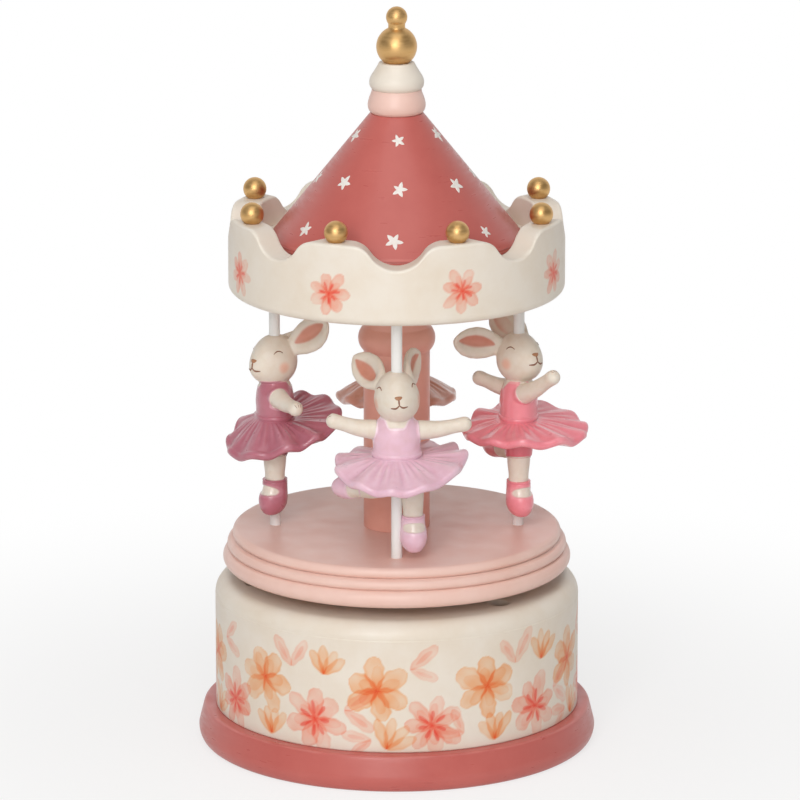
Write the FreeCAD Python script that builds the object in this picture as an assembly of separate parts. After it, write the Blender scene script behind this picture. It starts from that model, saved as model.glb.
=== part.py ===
"""Carousel music box: a turned wooden case with a spring movement inside that turns four rabbit dancers."""
import FreeCAD
import Part
import math
import os
from typing import NamedTuple

from FreeCAD import Placement, Rotation
from FreeCAD import Vector as V

# Clearances, in millimetres like every length below
GLUE_GAP = 0.05          # radial room of a glued or pressed seat
RUN_GAP = 0.05           # radial room of a running shaft
FREE_GAP = 0.5           # room beside a turning piece

# Plinth
PLINTH_R = 55.0          # widest radius, low on the side
PLINTH_WIDE_Z = 3.6
PLINTH_FOOT_R = 53.0
PLINTH_TOP_R = 53.4
PLINTH_H = 10.0
PLINTH_EDGE = 0.9        # rounding of the top edge
SPIGOT_H = 3.0           # raised disc that centres the drum

# Drum
DRUM_R = 50.2
DRUM_H = 36.0
DRUM_WALL = 6.0
DRUM_TOP = 7.5           # thickness of the top
DRUM_SHOULDER = 4.5      # rounding of the shoulder

# Screws that hold the movement under the drum's top
SCREW_COUNT = 3
SCREW_CIRCLE_R = 40.0
SCREW_FIRST_DEG = -46.0
SCREW_R = 1.4
SCREW_HEAD_R = 2.6
SCREW_HEAD_H = 1.8
SCREW_SLOT_W = 0.7
SINK_R = 2.95            # counterbore
SINK_DEPTH = 4.0

# Spindle and its bush
SPINDLE_R = 2.5
BUSH_R = 5.0
BUSH_FLANGE_R = 8.0
BUSH_FLANGE_H = 1.2
COLLAR_R = 6.0
COLLAR_LIFT = 0.05       # axial room under the collar

# Platform
PLATFORM_GAP = 3.6       # air between drum and platform
PLATFORM_LOW_R = 48.0
PLATFORM_MID_R = 46.8
PLATFORM_TOP_R = 45.3
BEAD_LOW_H = 4.6
BEAD_MID_H = 2.9
BEAD_TOP_H = 3.1
BEAD_BULGE = 1.6         # how far each half-round stands out
SPINDLE_SEAT = 6.5       # depth of the spindle's hole in the platform

# Column
COLUMN_R = 9.1
COLUMN_H = 69.8
CAPITAL_R = 10.6
CAPITAL_Z = 49.8         # underside of the capital bead above the platform
CAPITAL_H = 6.8
TENON_R = 5.0
TENON_H = 3.0

# Poles
POLE_COUNT = 4
POLE_R = 1.5
POLE_INSET = 3.5         # room between a pole and the crown ring round it
POLE_SINK = 3.0          # depth of a pole in the platform
POLE_RISE = 5.0          # depth of a pole in the canopy board

# Canopy
BOARD_H = 10.8
RING_R = 46.0
RING_WALL = 7.5
RING_DROP = 2.8          # how far the ring hangs below the board
RING_H = 15.4            # from the ring's underside to a valley
RING_EDGE = 2.0          # rounding of the ring's lower edges
MERLON_COUNT = 8
MERLON_H = 6.4
MERLON_FLAT = 12.0       # width of a merlon's flat top
MERLON_SHOULDER_R = 6.0
BEAD_R = 3.2
BEAD_SEAT_R = 2.0
BEAD_PEG_R = 1.2
BEAD_PEG_H = 4.0

# Roof and finial
CONE_R = 34.6
CONE_RIM_H = 2.0
CONE_H = 35.4
CONE_TIP_R = 7.2
COLLAR_BEAD_R = 7.9
COLLAR_BEAD_H = 6.5
NECK_R = 6.9
BELL_R = 7.45
BELL_H = 7.3
BELL_WIDE_Z = 2.7
BELL_TIP_R = 5.2
KNOB_R = 5.55
KNOB_SEAT_R = 3.4
TIP_R = 2.9
TIP_OVERLAP = 0.4        # how far the small ball sinks in the large one
PIN_R = 2.0
PIN_SINK = 11.0          # depth of the finial pin in the cone
PIN_RISE = 3.0           # depth of the finial pin in the knob

# Movement, hung under the drum's top
PLATE_T = 2.5
PLATE_BACK = 16.0        # from the spindle to the plate's plain end
PLATE_FRONT = 38.5       # from the spindle to the governor end
PLATE_COMB_SIDE = 26.0
PLATE_FLY_SIDE = 22.0
PLATE_RIM_GAP = 1.2      # least room between plate and drum wall
LUG_R = 4.5
LUG_BOSS_H = 3.0
HOUSING_R = 13.0
HOUSING_H = 13.0
HOUSING_WALL = 1.0
HOUSING_TAB_W = 4.0
HOUSING_TABS = 3
SPRING_T = 0.5
SPRING_PITCH = 1.2
SPRING_TURNS = 6
SPRING_H = 9.0

# Crown wheel on the spindle and the pinion that it drives
CROWN_TEETH = 54
PINION_TEETH = 22
DRIVE_MODULE = 0.6
CROWN_FACE = 3.2
CROWN_WEB = 1.4
CROWN_HUB_R = 5.0
CROWN_HUB_STEP = 1.4     # how far the hub stands above the teeth
PINION_FACE = 2.0

# Spur pair, worm pair
WHEEL_TEETH = 36
LEAF_TEETH = 12
WORM_WHEEL_TEETH = 24
TRAIN_MODULE = 0.4
WHEEL_FACE = 1.0
WORM_PITCH_R = 1.75
WORM_TURNS = 4
ADDENDUM = 0.8           # in modules
DEDENDUM = 1.0           # in modules
TOOTH_SHARE = 0.37       # tooth width over pitch, which leaves backlash
FLANK_DEG = 22.0

# Pinned cylinder and comb
CYLINDER_R = 5.6
CYLINDER_SHAFT_R = 1.0
PIN_H = 0.8
PIN_W = 0.35
TONGUES = 18
TONGUE_PITCH = 0.64
TONGUE_SLIT = 0.2
TONGUE_L = 11.5
COMB_T = 0.8
COMB_BACK = 7.0
COMB_GAP = 0.15          # from the pins to the tongues
COMB_SCREWS = 2
COMB_SCREW_R = 0.9
COMB_HEAD_R = 1.6
COMB_HEAD_H = 1.1

# Governor
LUG_T = 1.0
LUG_MARGIN = 1.6         # metal round a shaft's hole
LUG_EDGE = 1.0           # metal beside the governor shaft, next to the fly
GOVERNOR_SHAFT_R = 0.7
FLY_SHAFT_R = 0.6
FLY_R = 4.0
FLY_H = 3.2
FLY_T = 0.4
BRACKET_T = 1.0
BRACKET_W = 5.0

# Dancers, measured from the pole's axis and up from the platform
TOE_LIFT = 1.8
HIP_Z = 21.0
HIP_R = 4.6
WAIST_Z = 28.3
WAIST_HALF_W = 6.4
WAIST_HALF_D = 5.0
CHEST_Z = 33.2
CHEST_HALF_W = 6.5
CHEST_HALF_D = 5.2
NECK_Z = 39.0
DANCER_NECK_R = 2.9
HEAD_Z = 46.2
HEAD_R = 6.3
HEAD_LOW = 6.8           # from the head's centre to its underside
HEAD_HIGH = 7.1          # from the head's centre to its crown
HEAD_FRONT = 8.3         # from the pole to the nose
MUZZLE_R = 5.1
MUZZLE_DROP = 1.4
EAR_L = 14.0
EAR_HALF_W = 4.7
EAR_HALF_T = 1.4
EAR_OUT = 4.0            # root of an ear from the head's centre
EAR_BACK = 3.0
EAR_RISE = 3.8
SHOULDER_Z = 35.6
SHOULDER_OUT = 3.6
ARM_R = 2.7
WRIST_R = 1.85
HAND_R = 2.1
ELBOW_SAG = 0.6
LEG_OUT = 4.4
LEG_R = 3.2
ANKLE_R = 2.8
SHOE_H = 8.2
SHOE_HALF_W = 3.4
SHOE_HALF_L = 4.1
SHOE_LEAD = 1.4          # how far the toe points ahead of the leg
RAISED_HIP = V(-1.5, 0.8, -0.5)
RAISED_SHIN = V(-5.0, 2.2, -3.0)
RAISED_FOOT = V(-4.2, 2.0, -0.8)
RAISED_TOE = V(-6.8, 3.2, -1.0)
TUTU_EDGE = 2.2          # height of the rim's band
TUTU_RUFFLES = 11
RUFFLE_H = 0.7
RUFFLE_OUT = 0.5


class Pose(NamedTuple):
    """How one dancer stands; reaches and ears are directions outward, backward and up."""

    mirrored: bool
    lift: float              # up its pole
    head_sink: float         # of the head into the shoulders
    head_turn_deg: float     # to its left
    head_nod_deg: float
    head_roll_deg: float     # up on its left
    right_ear: tuple         # direction along the ear, and the way that it opens
    left_ear: tuple
    right_reach: tuple       # from the shoulder to the hand
    left_reach: tuple
    tutu_r: float
    tutu_shift: tuple        # of the skirt's middle from the pole, to its left and backward
    rim_drop: float          # from the waist to the top of the skirt's rim
    roll_deg: float          # skirt up on its left
    pitch_deg: float         # skirt up at its back
    fold: float              # how far the skirt hangs at its front and back
    toe_turn_deg: float      # standing toe, to its left
    leg_swing_deg: float     # raised leg, to its right
    leg_raise: float


POSES = {
    "front": Pose(
        mirrored=False, lift=0.0, head_sink=1.3,
        head_turn_deg=4.0, head_nod_deg=-6.0, head_roll_deg=5.4,
        right_ear=((0.5, 0.8, 0.33), (0.3, -0.9, 0.3)),
        left_ear=((0.2, 0.93, 0.3), (0.95, 0.05, 0.3)),
        right_reach=(13.4, -1.5, 2.9), left_reach=(14.6, 1.0, 1.4),
        tutu_r=17.9, tutu_shift=(1.0, 0.0),
        rim_drop=0.4, roll_deg=3.5, pitch_deg=5.9, fold=2.3,
        toe_turn_deg=10.0, leg_swing_deg=0.0, leg_raise=0.8,
    ),
    "right": Pose(
        mirrored=True, lift=1.9, head_sink=0.6,
        head_turn_deg=54.0, head_nod_deg=-12.0, head_roll_deg=0.0,
        right_ear=((0.55, 0.5, 0.45), (0.8, -0.3, -0.5)),
        left_ear=((0.41, 0.89, 0.19), (0.85, -0.35, -0.1)),
        right_reach=(5.0, 10.6, 2.0), left_reach=(10.5, -9.0, 7.8),
        tutu_r=17.3, tutu_shift=(0.0, -1.8),
        rim_drop=0.5, roll_deg=-4.5, pitch_deg=0.0, fold=1.9,
        toe_turn_deg=60.0, leg_swing_deg=0.0, leg_raise=0.0,
    ),
    "back": Pose(
        mirrored=False, lift=6.0, head_sink=1.2,
        head_turn_deg=0.0, head_nod_deg=-4.0, head_roll_deg=0.0,
        right_ear=((0.36, 0.87, 0.34), (0.3, -0.9, 0.3)),
        left_ear=((0.3, 0.88, 0.34), (0.3, -0.9, 0.3)),
        right_reach=(2.2, -12.4, 2.5), left_reach=(2.4, -12.8, 1.0),
        tutu_r=16.9, tutu_shift=(0.0, 0.0),
        rim_drop=5.0, roll_deg=0.0, pitch_deg=5.0, fold=0.0,
        toe_turn_deg=20.0, leg_swing_deg=-55.0, leg_raise=0.0,
    ),
    "left": Pose(
        mirrored=False, lift=2.4, head_sink=1.7,
        head_turn_deg=44.0, head_nod_deg=-2.0, head_roll_deg=0.0,
        right_ear=((0.15, 0.9, 0.4), (0.2, -0.7, 0.5)),
        left_ear=((0.42, 0.68, 0.59), (0.85, -0.45, 0.1)),
        right_reach=(12.5, -5.0, 3.0), left_reach=(11.0, 6.0, -1.4),
        tutu_r=15.9, tutu_shift=(0.0, 2.4),
        rim_drop=1.2, roll_deg=-12.4, pitch_deg=14.6, fold=1.6,
        toe_turn_deg=45.0, leg_swing_deg=18.0, leg_raise=3.0,
    ),
}

# Heights that follow from the sizes above
DRUM_TOP_Z = PLINTH_H + DRUM_H
CEILING_Z = DRUM_TOP_Z - DRUM_TOP
DRUM_BORE_R = DRUM_R - DRUM_WALL
PLATE_Z = CEILING_Z - PLATE_T
PLATFORM_Z = DRUM_TOP_Z + PLATFORM_GAP
PLATFORM_TOP_Z = PLATFORM_Z + BEAD_LOW_H + BEAD_MID_H + BEAD_TOP_H
BOARD_Z = PLATFORM_TOP_Z + COLUMN_H
DECK_Z = BOARD_Z + BOARD_H
RING_BORE_R = RING_R - RING_WALL
POLE_CIRCLE_R = RING_BORE_R - POLE_INSET - POLE_R
RING_Z = BOARD_Z - RING_DROP
VALLEY_Z = RING_Z + RING_H
MERLON_Z = VALLEY_Z + MERLON_H
CONE_TIP_Z = DECK_Z + CONE_H
BELL_Z = CONE_TIP_Z + COLLAR_BEAD_H
KNOB_Z = BELL_Z + BELL_H

# Places of the wheels, which follow from their teeth
CROWN_R = DRIVE_MODULE * CROWN_TEETH / 2
PINION_R = DRIVE_MODULE * PINION_TEETH / 2
WHEEL_R = TRAIN_MODULE * WHEEL_TEETH / 2
LEAF_R = TRAIN_MODULE * LEAF_TEETH / 2
WORM_WHEEL_R = TRAIN_MODULE * WORM_WHEEL_TEETH / 2
WORM_PITCH = math.pi * TRAIN_MODULE
HOUSING_Z = PLATE_Z - HOUSING_H
CROWN_PITCH_Z = HOUSING_Z - FREE_GAP - ADDENDUM * DRIVE_MODULE - CROWN_HUB_STEP
CROWN_ROOT_Z = CROWN_PITCH_Z - DEDENDUM * DRIVE_MODULE
CROWN_BOTTOM_Z = CROWN_ROOT_Z - CROWN_WEB
CYLINDER_Z = CROWN_PITCH_Z + PINION_R
NEAR_LUG_X = CROWN_R - PINION_FACE / 2 - FREE_GAP - LUG_T
CYLINDER_X = CROWN_R + PINION_FACE / 2 + FREE_GAP
CYLINDER_L = TONGUES * TONGUE_PITCH
WHEEL_X = CYLINDER_X + CYLINDER_L + FREE_GAP
FAR_LUG_X = WHEEL_X + WHEEL_FACE + FREE_GAP
WORM_WHEEL_X = FAR_LUG_X + LUG_T + FREE_GAP
OUTER_LUG_X = WORM_WHEEL_X + WHEEL_FACE + FREE_GAP
GOVERNOR_Y = WHEEL_R + LEAF_R
WORM_X = WORM_WHEEL_X + WHEEL_FACE / 2
WORM_Y = GOVERNOR_Y + WORM_WHEEL_R + WORM_PITCH_R
COMB_TIP_Y = -(CYLINDER_R + PIN_H + COMB_GAP)
COMB_ROOT_Y = COMB_TIP_Y - TONGUE_L
COMB_END_Y = COMB_ROOT_Y - COMB_BACK
FLY_Z = CYLINDER_Z - WORM_WHEEL_R - TRAIN_MODULE - FREE_GAP - FLY_H
FOOT_Z = FLY_Z - FREE_GAP


def around(count, first_deg=0.0):
    """Return `count` evenly spaced angles in degrees."""
    return [first_deg + 360.0 * i / count for i in range(count)]


def polar(radius, degrees, z=0.0):
    """Return the point at a radius and an angle from +X."""
    a = math.radians(degrees)
    return V(radius * math.cos(a), radius * math.sin(a), z)


def turned(path):
    """Revolve a (radius, height) path about Z; a step of two points is an arc through the first."""
    def flat(point):
        return V(point[0], 0, point[1])

    edges = []
    here = path[0]
    for step in path[1:]:
        if isinstance(step[0], tuple):
            via, end = step
            edges.append(Part.Arc(flat(here), flat(via), flat(end)).toShape())
        else:
            end = step
            edges.append(Part.makeLine(flat(here), flat(end)))
        here = end
    edges.append(Part.makeLine(flat(here), flat(path[0])))
    return Part.Face(Part.Wire(edges)).revolve(V(0, 0, 0), V(0, 0, 1), 360)


def rod(radius, z0, z1, at=V(0, 0, 0)):
    """Return an upright cylinder between two heights."""
    return Part.makeCylinder(radius, z1 - z0, V(at.x, at.y, z0))


def shaft(radius, x0, x1, y, z):
    """Return a cylinder along X."""
    return Part.makeCylinder(radius, x1 - x0, V(x0, y, z), V(1, 0, 0))


def block(x0, x1, y0, y1, z0, z1):
    """Return a box between two corners."""
    return Part.makeBox(x1 - x0, y1 - y0, z1 - z0, V(x0, y0, z0))


def joined(pieces):
    """Fuse solids into one."""
    return pieces[0].multiFuse(pieces[1:]).removeSplitter()


def turned_about_z(shape, degrees):
    """Return a copy of a shape turned about Z."""
    copy = shape.copy()
    copy.rotate(V(0, 0, 0), V(0, 0, 1), degrees)
    return copy


def make_plinth():
    """Foot disc: rounded under-edge, sloping side, and a spigot for the drum."""
    s = math.sqrt(0.5)
    foot_via = (
        PLINTH_FOOT_R + (PLINTH_R - PLINTH_FOOT_R) * s,
        PLINTH_WIDE_Z * (1 - s),
    )
    rim_r = PLINTH_TOP_R - PLINTH_EDGE
    edge_via = (rim_r + PLINTH_EDGE * s, PLINTH_H - PLINTH_EDGE * (1 - s))
    spigot_r = DRUM_BORE_R - GLUE_GAP
    return turned([
        (0, 0),
        (PLINTH_FOOT_R, 0),
        (foot_via, (PLINTH_R, PLINTH_WIDE_Z)),
        (PLINTH_TOP_R, PLINTH_H - PLINTH_EDGE),
        (edge_via, (rim_r, PLINTH_H)),
        (spigot_r, PLINTH_H),
        (spigot_r, PLINTH_H + SPIGOT_H),
        (0, PLINTH_H + SPIGOT_H),
    ])


def screw_points(z=0.0):
    """Return the centres of the movement's screws."""
    return [polar(SCREW_CIRCLE_R, a, z) for a in around(SCREW_COUNT, SCREW_FIRST_DEG)]


def make_drum():
    """Hollow case with a round shoulder, the bush's hole and sunk screw holes."""
    s = math.sqrt(0.5)
    flat_r = DRUM_R - DRUM_SHOULDER
    round_z = DRUM_TOP_Z - DRUM_SHOULDER
    drum = turned([
        (BUSH_R + GLUE_GAP, CEILING_Z),
        (DRUM_BORE_R, CEILING_Z),
        (DRUM_BORE_R, PLINTH_H),
        (DRUM_R, PLINTH_H),
        (DRUM_R, round_z),
        ((flat_r + DRUM_SHOULDER * s, round_z + DRUM_SHOULDER * s), (flat_r, DRUM_TOP_Z)),
        (BUSH_R + GLUE_GAP, DRUM_TOP_Z),
    ])
    for p in screw_points():
        drum = drum.cut(rod(SINK_R, DRUM_TOP_Z - SINK_DEPTH, DRUM_TOP_Z + 1, p))
        drum = drum.cut(rod(SCREW_R + GLUE_GAP, CEILING_Z - 1, DRUM_TOP_Z, p))
    return drum


def make_spindle_bush():
    """Flanged bearing in the drum's top."""
    bore = SPINDLE_R + RUN_GAP
    return turned([
        (bore, CEILING_Z),
        (BUSH_R, CEILING_Z),
        (BUSH_R, DRUM_TOP_Z),
        (BUSH_FLANGE_R, DRUM_TOP_Z),
        (BUSH_FLANGE_R, DRUM_TOP_Z + BUSH_FLANGE_H),
        (bore, DRUM_TOP_Z + BUSH_FLANGE_H),
    ])


def make_movement_screws():
    """Slotted screws sunk in the drum's top."""
    head_z = DRUM_TOP_Z - SINK_DEPTH
    tip_z = PLATE_Z - LUG_BOSS_H + FREE_GAP
    screws = []
    for p in screw_points():
        screw = rod(SCREW_HEAD_R, head_z, head_z + SCREW_HEAD_H, p).fuse(rod(SCREW_R, tip_z, head_z, p))
        half = SCREW_SLOT_W / 2
        top = head_z + SCREW_HEAD_H
        slot = block(p.x - SCREW_HEAD_R, p.x + SCREW_HEAD_R, p.y - half, p.y + half, top - half, top + 1)
        screws.append(screw.cut(slot))
    return Part.makeCompound(screws)


def make_spindle():
    """Shaft that carries the platform on a collar and the crown wheel at its foot."""
    collar_z = DRUM_TOP_Z + BUSH_FLANGE_H + COLLAR_LIFT
    return turned([
        (0, CROWN_BOTTOM_Z),
        (SPINDLE_R, CROWN_BOTTOM_Z),
        (SPINDLE_R, collar_z),
        (COLLAR_R, collar_z),
        (COLLAR_R, PLATFORM_Z),
        (SPINDLE_R, PLATFORM_Z),
        (SPINDLE_R, PLATFORM_Z + SPINDLE_SEAT),
        (0, PLATFORM_Z + SPINDLE_SEAT),
    ])


def bead(radius, z0, height):
    """Return the steps of one half-round bead between two heights of a turned path."""
    return ((radius, z0 + height / 2), (radius - BEAD_BULGE, z0 + height))


def make_platform():
    """Turntable of three stacked half-round beads, with seats for spindle, column and poles."""
    mid_z = PLATFORM_Z + BEAD_LOW_H
    top_z = mid_z + BEAD_MID_H
    platform = turned([
        (0, PLATFORM_Z),
        (PLATFORM_LOW_R - BEAD_BULGE, PLATFORM_Z),
        bead(PLATFORM_LOW_R, PLATFORM_Z, BEAD_LOW_H),
        (PLATFORM_MID_R - BEAD_BULGE, mid_z),
        bead(PLATFORM_MID_R, mid_z, BEAD_MID_H),
        (PLATFORM_TOP_R - BEAD_BULGE, top_z),
        bead(PLATFORM_TOP_R, top_z, BEAD_TOP_H),
        (0, PLATFORM_TOP_Z),
    ])
    cuts = [
        rod(SPINDLE_R + GLUE_GAP, PLATFORM_Z - 1, PLATFORM_Z + SPINDLE_SEAT),
        rod(TENON_R + GLUE_GAP, PLATFORM_TOP_Z - TENON_H, PLATFORM_TOP_Z + 1),
    ]
    for p in pole_points():
        cuts.append(rod(POLE_R + GLUE_GAP, PLATFORM_TOP_Z - POLE_SINK, PLATFORM_TOP_Z + 1, p))
    return platform.cut(cuts)


def make_center_column():
    """Post with a half-round capital bead and a tenon at each end."""
    bead_z = PLATFORM_TOP_Z + CAPITAL_Z
    return turned([
        (0, PLATFORM_TOP_Z - TENON_H),
        (TENON_R, PLATFORM_TOP_Z - TENON_H),
        (TENON_R, PLATFORM_TOP_Z),
        (COLUMN_R, PLATFORM_TOP_Z),
        (COLUMN_R, bead_z),
        ((CAPITAL_R, bead_z + CAPITAL_H / 2), (COLUMN_R, bead_z + CAPITAL_H)),
        (COLUMN_R, BOARD_Z),
        (TENON_R, BOARD_Z),
        (TENON_R, BOARD_Z + TENON_H),
        (0, BOARD_Z + TENON_H),
    ])


def pole_points(z=0.0):
    """Return the poles' centres in the order front, right, back, left."""
    return [polar(POLE_CIRCLE_R, a, z) for a in around(POLE_COUNT, -90.0)]


def make_pole(at):
    """White rod from the platform to the canopy board."""
    return rod(POLE_R, PLATFORM_TOP_Z - POLE_SINK, BOARD_Z + POLE_RISE, at)


def make_canopy_board():
    """Disc inside the crown ring, with seats for the column and the poles."""
    cuts = [rod(TENON_R + GLUE_GAP, BOARD_Z - 1, BOARD_Z + TENON_H)]
    for p in pole_points():
        cuts.append(rod(POLE_R + GLUE_GAP, BOARD_Z - 1, BOARD_Z + POLE_RISE, p))
    return rod(RING_BORE_R - GLUE_GAP, BOARD_Z, DECK_Z).cut(cuts)


def merlon_angles():
    """Return the merlons' angles; a valley faces the front."""
    return around(MERLON_COUNT, -90.0 + 180.0 / MERLON_COUNT)


def make_valley_cutter():
    """Wedge between two merlons: a round valley that swings out into round shoulders."""
    half_pitch = math.pi * RING_R / MERLON_COUNT
    half_w = half_pitch - MERLON_FLAT / 2
    arc_sum = (half_w ** 2 + MERLON_H ** 2) / (2 * MERLON_H)
    valley_r = arc_sum - MERLON_SHOULDER_R
    valley_c = V(0, 0, VALLEY_Z + valley_r)
    shoulder_c = V(half_w, 0, MERLON_Z - MERLON_SHOULDER_R)
    meet = valley_c + (shoulder_c - valley_c) * (valley_r / arc_sum)
    swing = math.atan2(meet.x - shoulder_c.x, meet.z - shoulder_c.z) / 2
    via = shoulder_c + V(math.sin(swing), 0, math.cos(swing)) * MERLON_SHOULDER_R
    edge = V(half_w, 0, MERLON_Z)
    over = V(half_w, 0, MERLON_Z + 1)

    def other(point):
        return V(-point.x, point.y, point.z)

    outline = Part.Wire([
        Part.Arc(edge, via, meet).toShape(),
        Part.Arc(meet, V(0, 0, VALLEY_Z), other(meet)).toShape(),
        Part.Arc(other(meet), other(via), other(edge)).toShape(),
        Part.makeLine(other(edge), other(over)),
        Part.makeLine(other(over), over),
        Part.makeLine(over, edge),
    ])
    return Part.Face(outline).extrude(V(0, -2 * RING_R, 0))


def make_crown_ring():
    """Ring with round lower edges, cut into merlons, with a peg hole in each."""
    s = math.sqrt(0.5)
    low = RING_Z + RING_EDGE
    inner = RING_BORE_R + RING_EDGE
    outer = RING_R - RING_EDGE
    drop = RING_EDGE * s
    ring = turned([
        (RING_BORE_R, MERLON_Z),
        (RING_BORE_R, low),
        ((inner - drop, low - drop), (inner, RING_Z)),
        (outer, RING_Z),
        ((outer + drop, low - drop), (RING_R, low)),
        (RING_R, MERLON_Z),
    ])
    cutter = make_valley_cutter()
    ring = ring.cut([turned_about_z(cutter, a) for a in around(MERLON_COUNT)])
    pegs = [rod(BEAD_PEG_R + GLUE_GAP, MERLON_Z - BEAD_PEG_H, MERLON_Z + 1, p) for p in bead_points()]
    return ring.cut(pegs)


def bead_points():
    """Return the centres of the gold balls over the ring's wall."""
    return [polar((RING_R + RING_BORE_R) / 2, a) for a in merlon_angles()]


def make_crown_bead(at):
    """Ball with a flat seat and a peg."""
    lift = math.sqrt(BEAD_R ** 2 - BEAD_SEAT_R ** 2)
    bead_z = MERLON_Z + lift
    ball = turned([
        (0, MERLON_Z - BEAD_PEG_H),
        (BEAD_PEG_R, MERLON_Z - BEAD_PEG_H),
        (BEAD_PEG_R, MERLON_Z),
        (BEAD_SEAT_R, MERLON_Z),
        ((BEAD_R, bead_z), (0, bead_z + BEAD_R)),
    ])
    ball.translate(at)
    return ball


def make_roof_cone():
    """Cone with a small rounded rim, cut off flat under the finial."""
    half = CONE_RIM_H / 2
    return turned([
        (0, DECK_Z),
        (CONE_R - half, DECK_Z),
        ((CONE_R, DECK_Z + half), (CONE_R - half / 2, DECK_Z + CONE_RIM_H)),
        (CONE_TIP_R, CONE_TIP_Z),
        (PIN_R + GLUE_GAP, CONE_TIP_Z),
        (PIN_R + GLUE_GAP, CONE_TIP_Z - PIN_SINK),
        (0, CONE_TIP_Z - PIN_SINK),
    ])


def make_finial_collar():
    """Half-round bead on the cone's tip."""
    bore = PIN_R + GLUE_GAP
    return turned([
        (bore, CONE_TIP_Z),
        (NECK_R, CONE_TIP_Z),
        ((COLLAR_BEAD_R, CONE_TIP_Z + COLLAR_BEAD_H / 2), (NECK_R, BELL_Z)),
        (bore, BELL_Z),
    ])


def make_finial_bell():
    """Bell that swells over its foot and narrows to the knob."""
    bore = PIN_R + GLUE_GAP
    wide_z = BELL_Z + BELL_WIDE_Z
    waist = ((BELL_R + BELL_TIP_R) / 2 + BELL_R * 0.05, (wide_z + KNOB_Z) / 2)
    foot = (BELL_R - (BELL_R - NECK_R) / 4, BELL_Z + BELL_WIDE_Z / 2)
    return turned([
        (bore, BELL_Z),
        (NECK_R, BELL_Z),
        (foot, (BELL_R, wide_z)),
        (waist, (BELL_TIP_R, KNOB_Z)),
        (bore, KNOB_Z),
    ])


def make_finial_knob():
    """Large ball with a small ball on it, seated flat on the bell."""
    ball_z = KNOB_Z + math.sqrt(KNOB_R ** 2 - KNOB_SEAT_R ** 2)
    tip_z = ball_z + KNOB_R + TIP_R - TIP_OVERLAP
    gap = tip_z - ball_z
    neck_up = (gap ** 2 + KNOB_R ** 2 - TIP_R ** 2) / (2 * gap)
    neck = (math.sqrt(KNOB_R ** 2 - neck_up ** 2), ball_z + neck_up)
    bore = PIN_R + GLUE_GAP
    return turned([
        (0, KNOB_Z + PIN_RISE),
        (bore, KNOB_Z + PIN_RISE),
        (bore, KNOB_Z),
        (KNOB_SEAT_R, KNOB_Z),
        ((KNOB_R, ball_z), neck),
        ((TIP_R, tip_z), (0, tip_z + TIP_R)),
    ])


def make_finial_pin():
    """Dowel through the finial into the cone."""
    return rod(PIN_R, CONE_TIP_Z - PIN_SINK, KNOB_Z + PIN_RISE)


def toothed_disc(teeth, module, face, first_deg, bore):
    """Return a wheel along +X with straight-flanked teeth; angle 0 points down and 90 points to +Y."""
    pitch_r = module * teeth / 2
    root_r = pitch_r - DEDENDUM * module
    tip_r = pitch_r + ADDENDUM * module
    half = math.pi * module * TOOTH_SHARE / 2
    slope = math.tan(math.radians(FLANK_DEG))
    root_deg = math.degrees((half + DEDENDUM * module * slope) / pitch_r)
    tip_deg = math.degrees((half - ADDENDUM * module * slope) / pitch_r)
    points = []
    for a in around(teeth, first_deg):
        points += [polar(root_r, a - root_deg), polar(tip_r, a - tip_deg)]
        points += [polar(tip_r, a + tip_deg), polar(root_r, a + root_deg)]
    disc = Part.Face(Part.makePolygon(points + points[:1])).extrude(V(0, 0, face))
    disc = disc.cut(rod(bore, -1, face + 1))
    disc.rotate(V(0, 0, 0), V(0, 1, 0), 90)
    return disc


def placed(shape, x, y, z):
    """Move a shape and return it."""
    shape.translate(V(x, y, z))
    return shape


def make_drive_wheel():
    """Crown wheel: a disc with upright radial teeth, pressed on the spindle's foot."""
    outer = CROWN_R + CROWN_FACE / 2
    inner = CROWN_R - CROWN_FACE / 2
    half = math.pi * DRIVE_MODULE * TOOTH_SHARE / 2
    slope = math.tan(math.radians(FLANK_DEG))
    root = half + DEDENDUM * DRIVE_MODULE * slope
    tip = half - ADDENDUM * DRIVE_MODULE * slope
    tip_z = CROWN_PITCH_Z + ADDENDUM * DRIVE_MODULE
    corners = [
        V(inner, -root, CROWN_ROOT_Z),
        V(inner, root, CROWN_ROOT_Z),
        V(inner, tip, tip_z),
        V(inner, -tip, tip_z),
    ]
    tooth = Part.Face(Part.makePolygon(corners + corners[:1])).extrude(V(CROWN_FACE, 0, 0))
    disc = turned([
        (SPINDLE_R + GLUE_GAP, CROWN_BOTTOM_Z),
        (outer, CROWN_BOTTOM_Z),
        (outer, CROWN_ROOT_Z),
        (CROWN_HUB_R, CROWN_ROOT_Z),
        (CROWN_HUB_R, HOUSING_Z - FREE_GAP),
        (SPINDLE_R + GLUE_GAP, HOUSING_Z - FREE_GAP),
    ])
    first = 180.0 / CROWN_TEETH
    return joined([disc] + [turned_about_z(tooth, a) for a in around(CROWN_TEETH, first)])


def make_cylinder_shaft():
    """Shaft of the pinned cylinder, held by two lugs of the bedplate."""
    return shaft(CYLINDER_SHAFT_R, NEAR_LUG_X, FAR_LUG_X + LUG_T, 0, CYLINDER_Z)


def make_cylinder_pinion():
    """Pinion that the crown wheel turns."""
    pinion = toothed_disc(PINION_TEETH, DRIVE_MODULE, PINION_FACE, 0.0, CYLINDER_SHAFT_R + GLUE_GAP)
    return placed(pinion, CROWN_R - PINION_FACE / 2, 0, CYLINDER_Z)


def make_cylinder_wheel():
    """Wheel at the cylinder's far end, which speeds up the governor."""
    wheel = toothed_disc(WHEEL_TEETH, TRAIN_MODULE, WHEEL_FACE, 90.0, CYLINDER_SHAFT_R + GLUE_GAP)
    return placed(wheel, WHEEL_X, 0, CYLINDER_Z)


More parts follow.
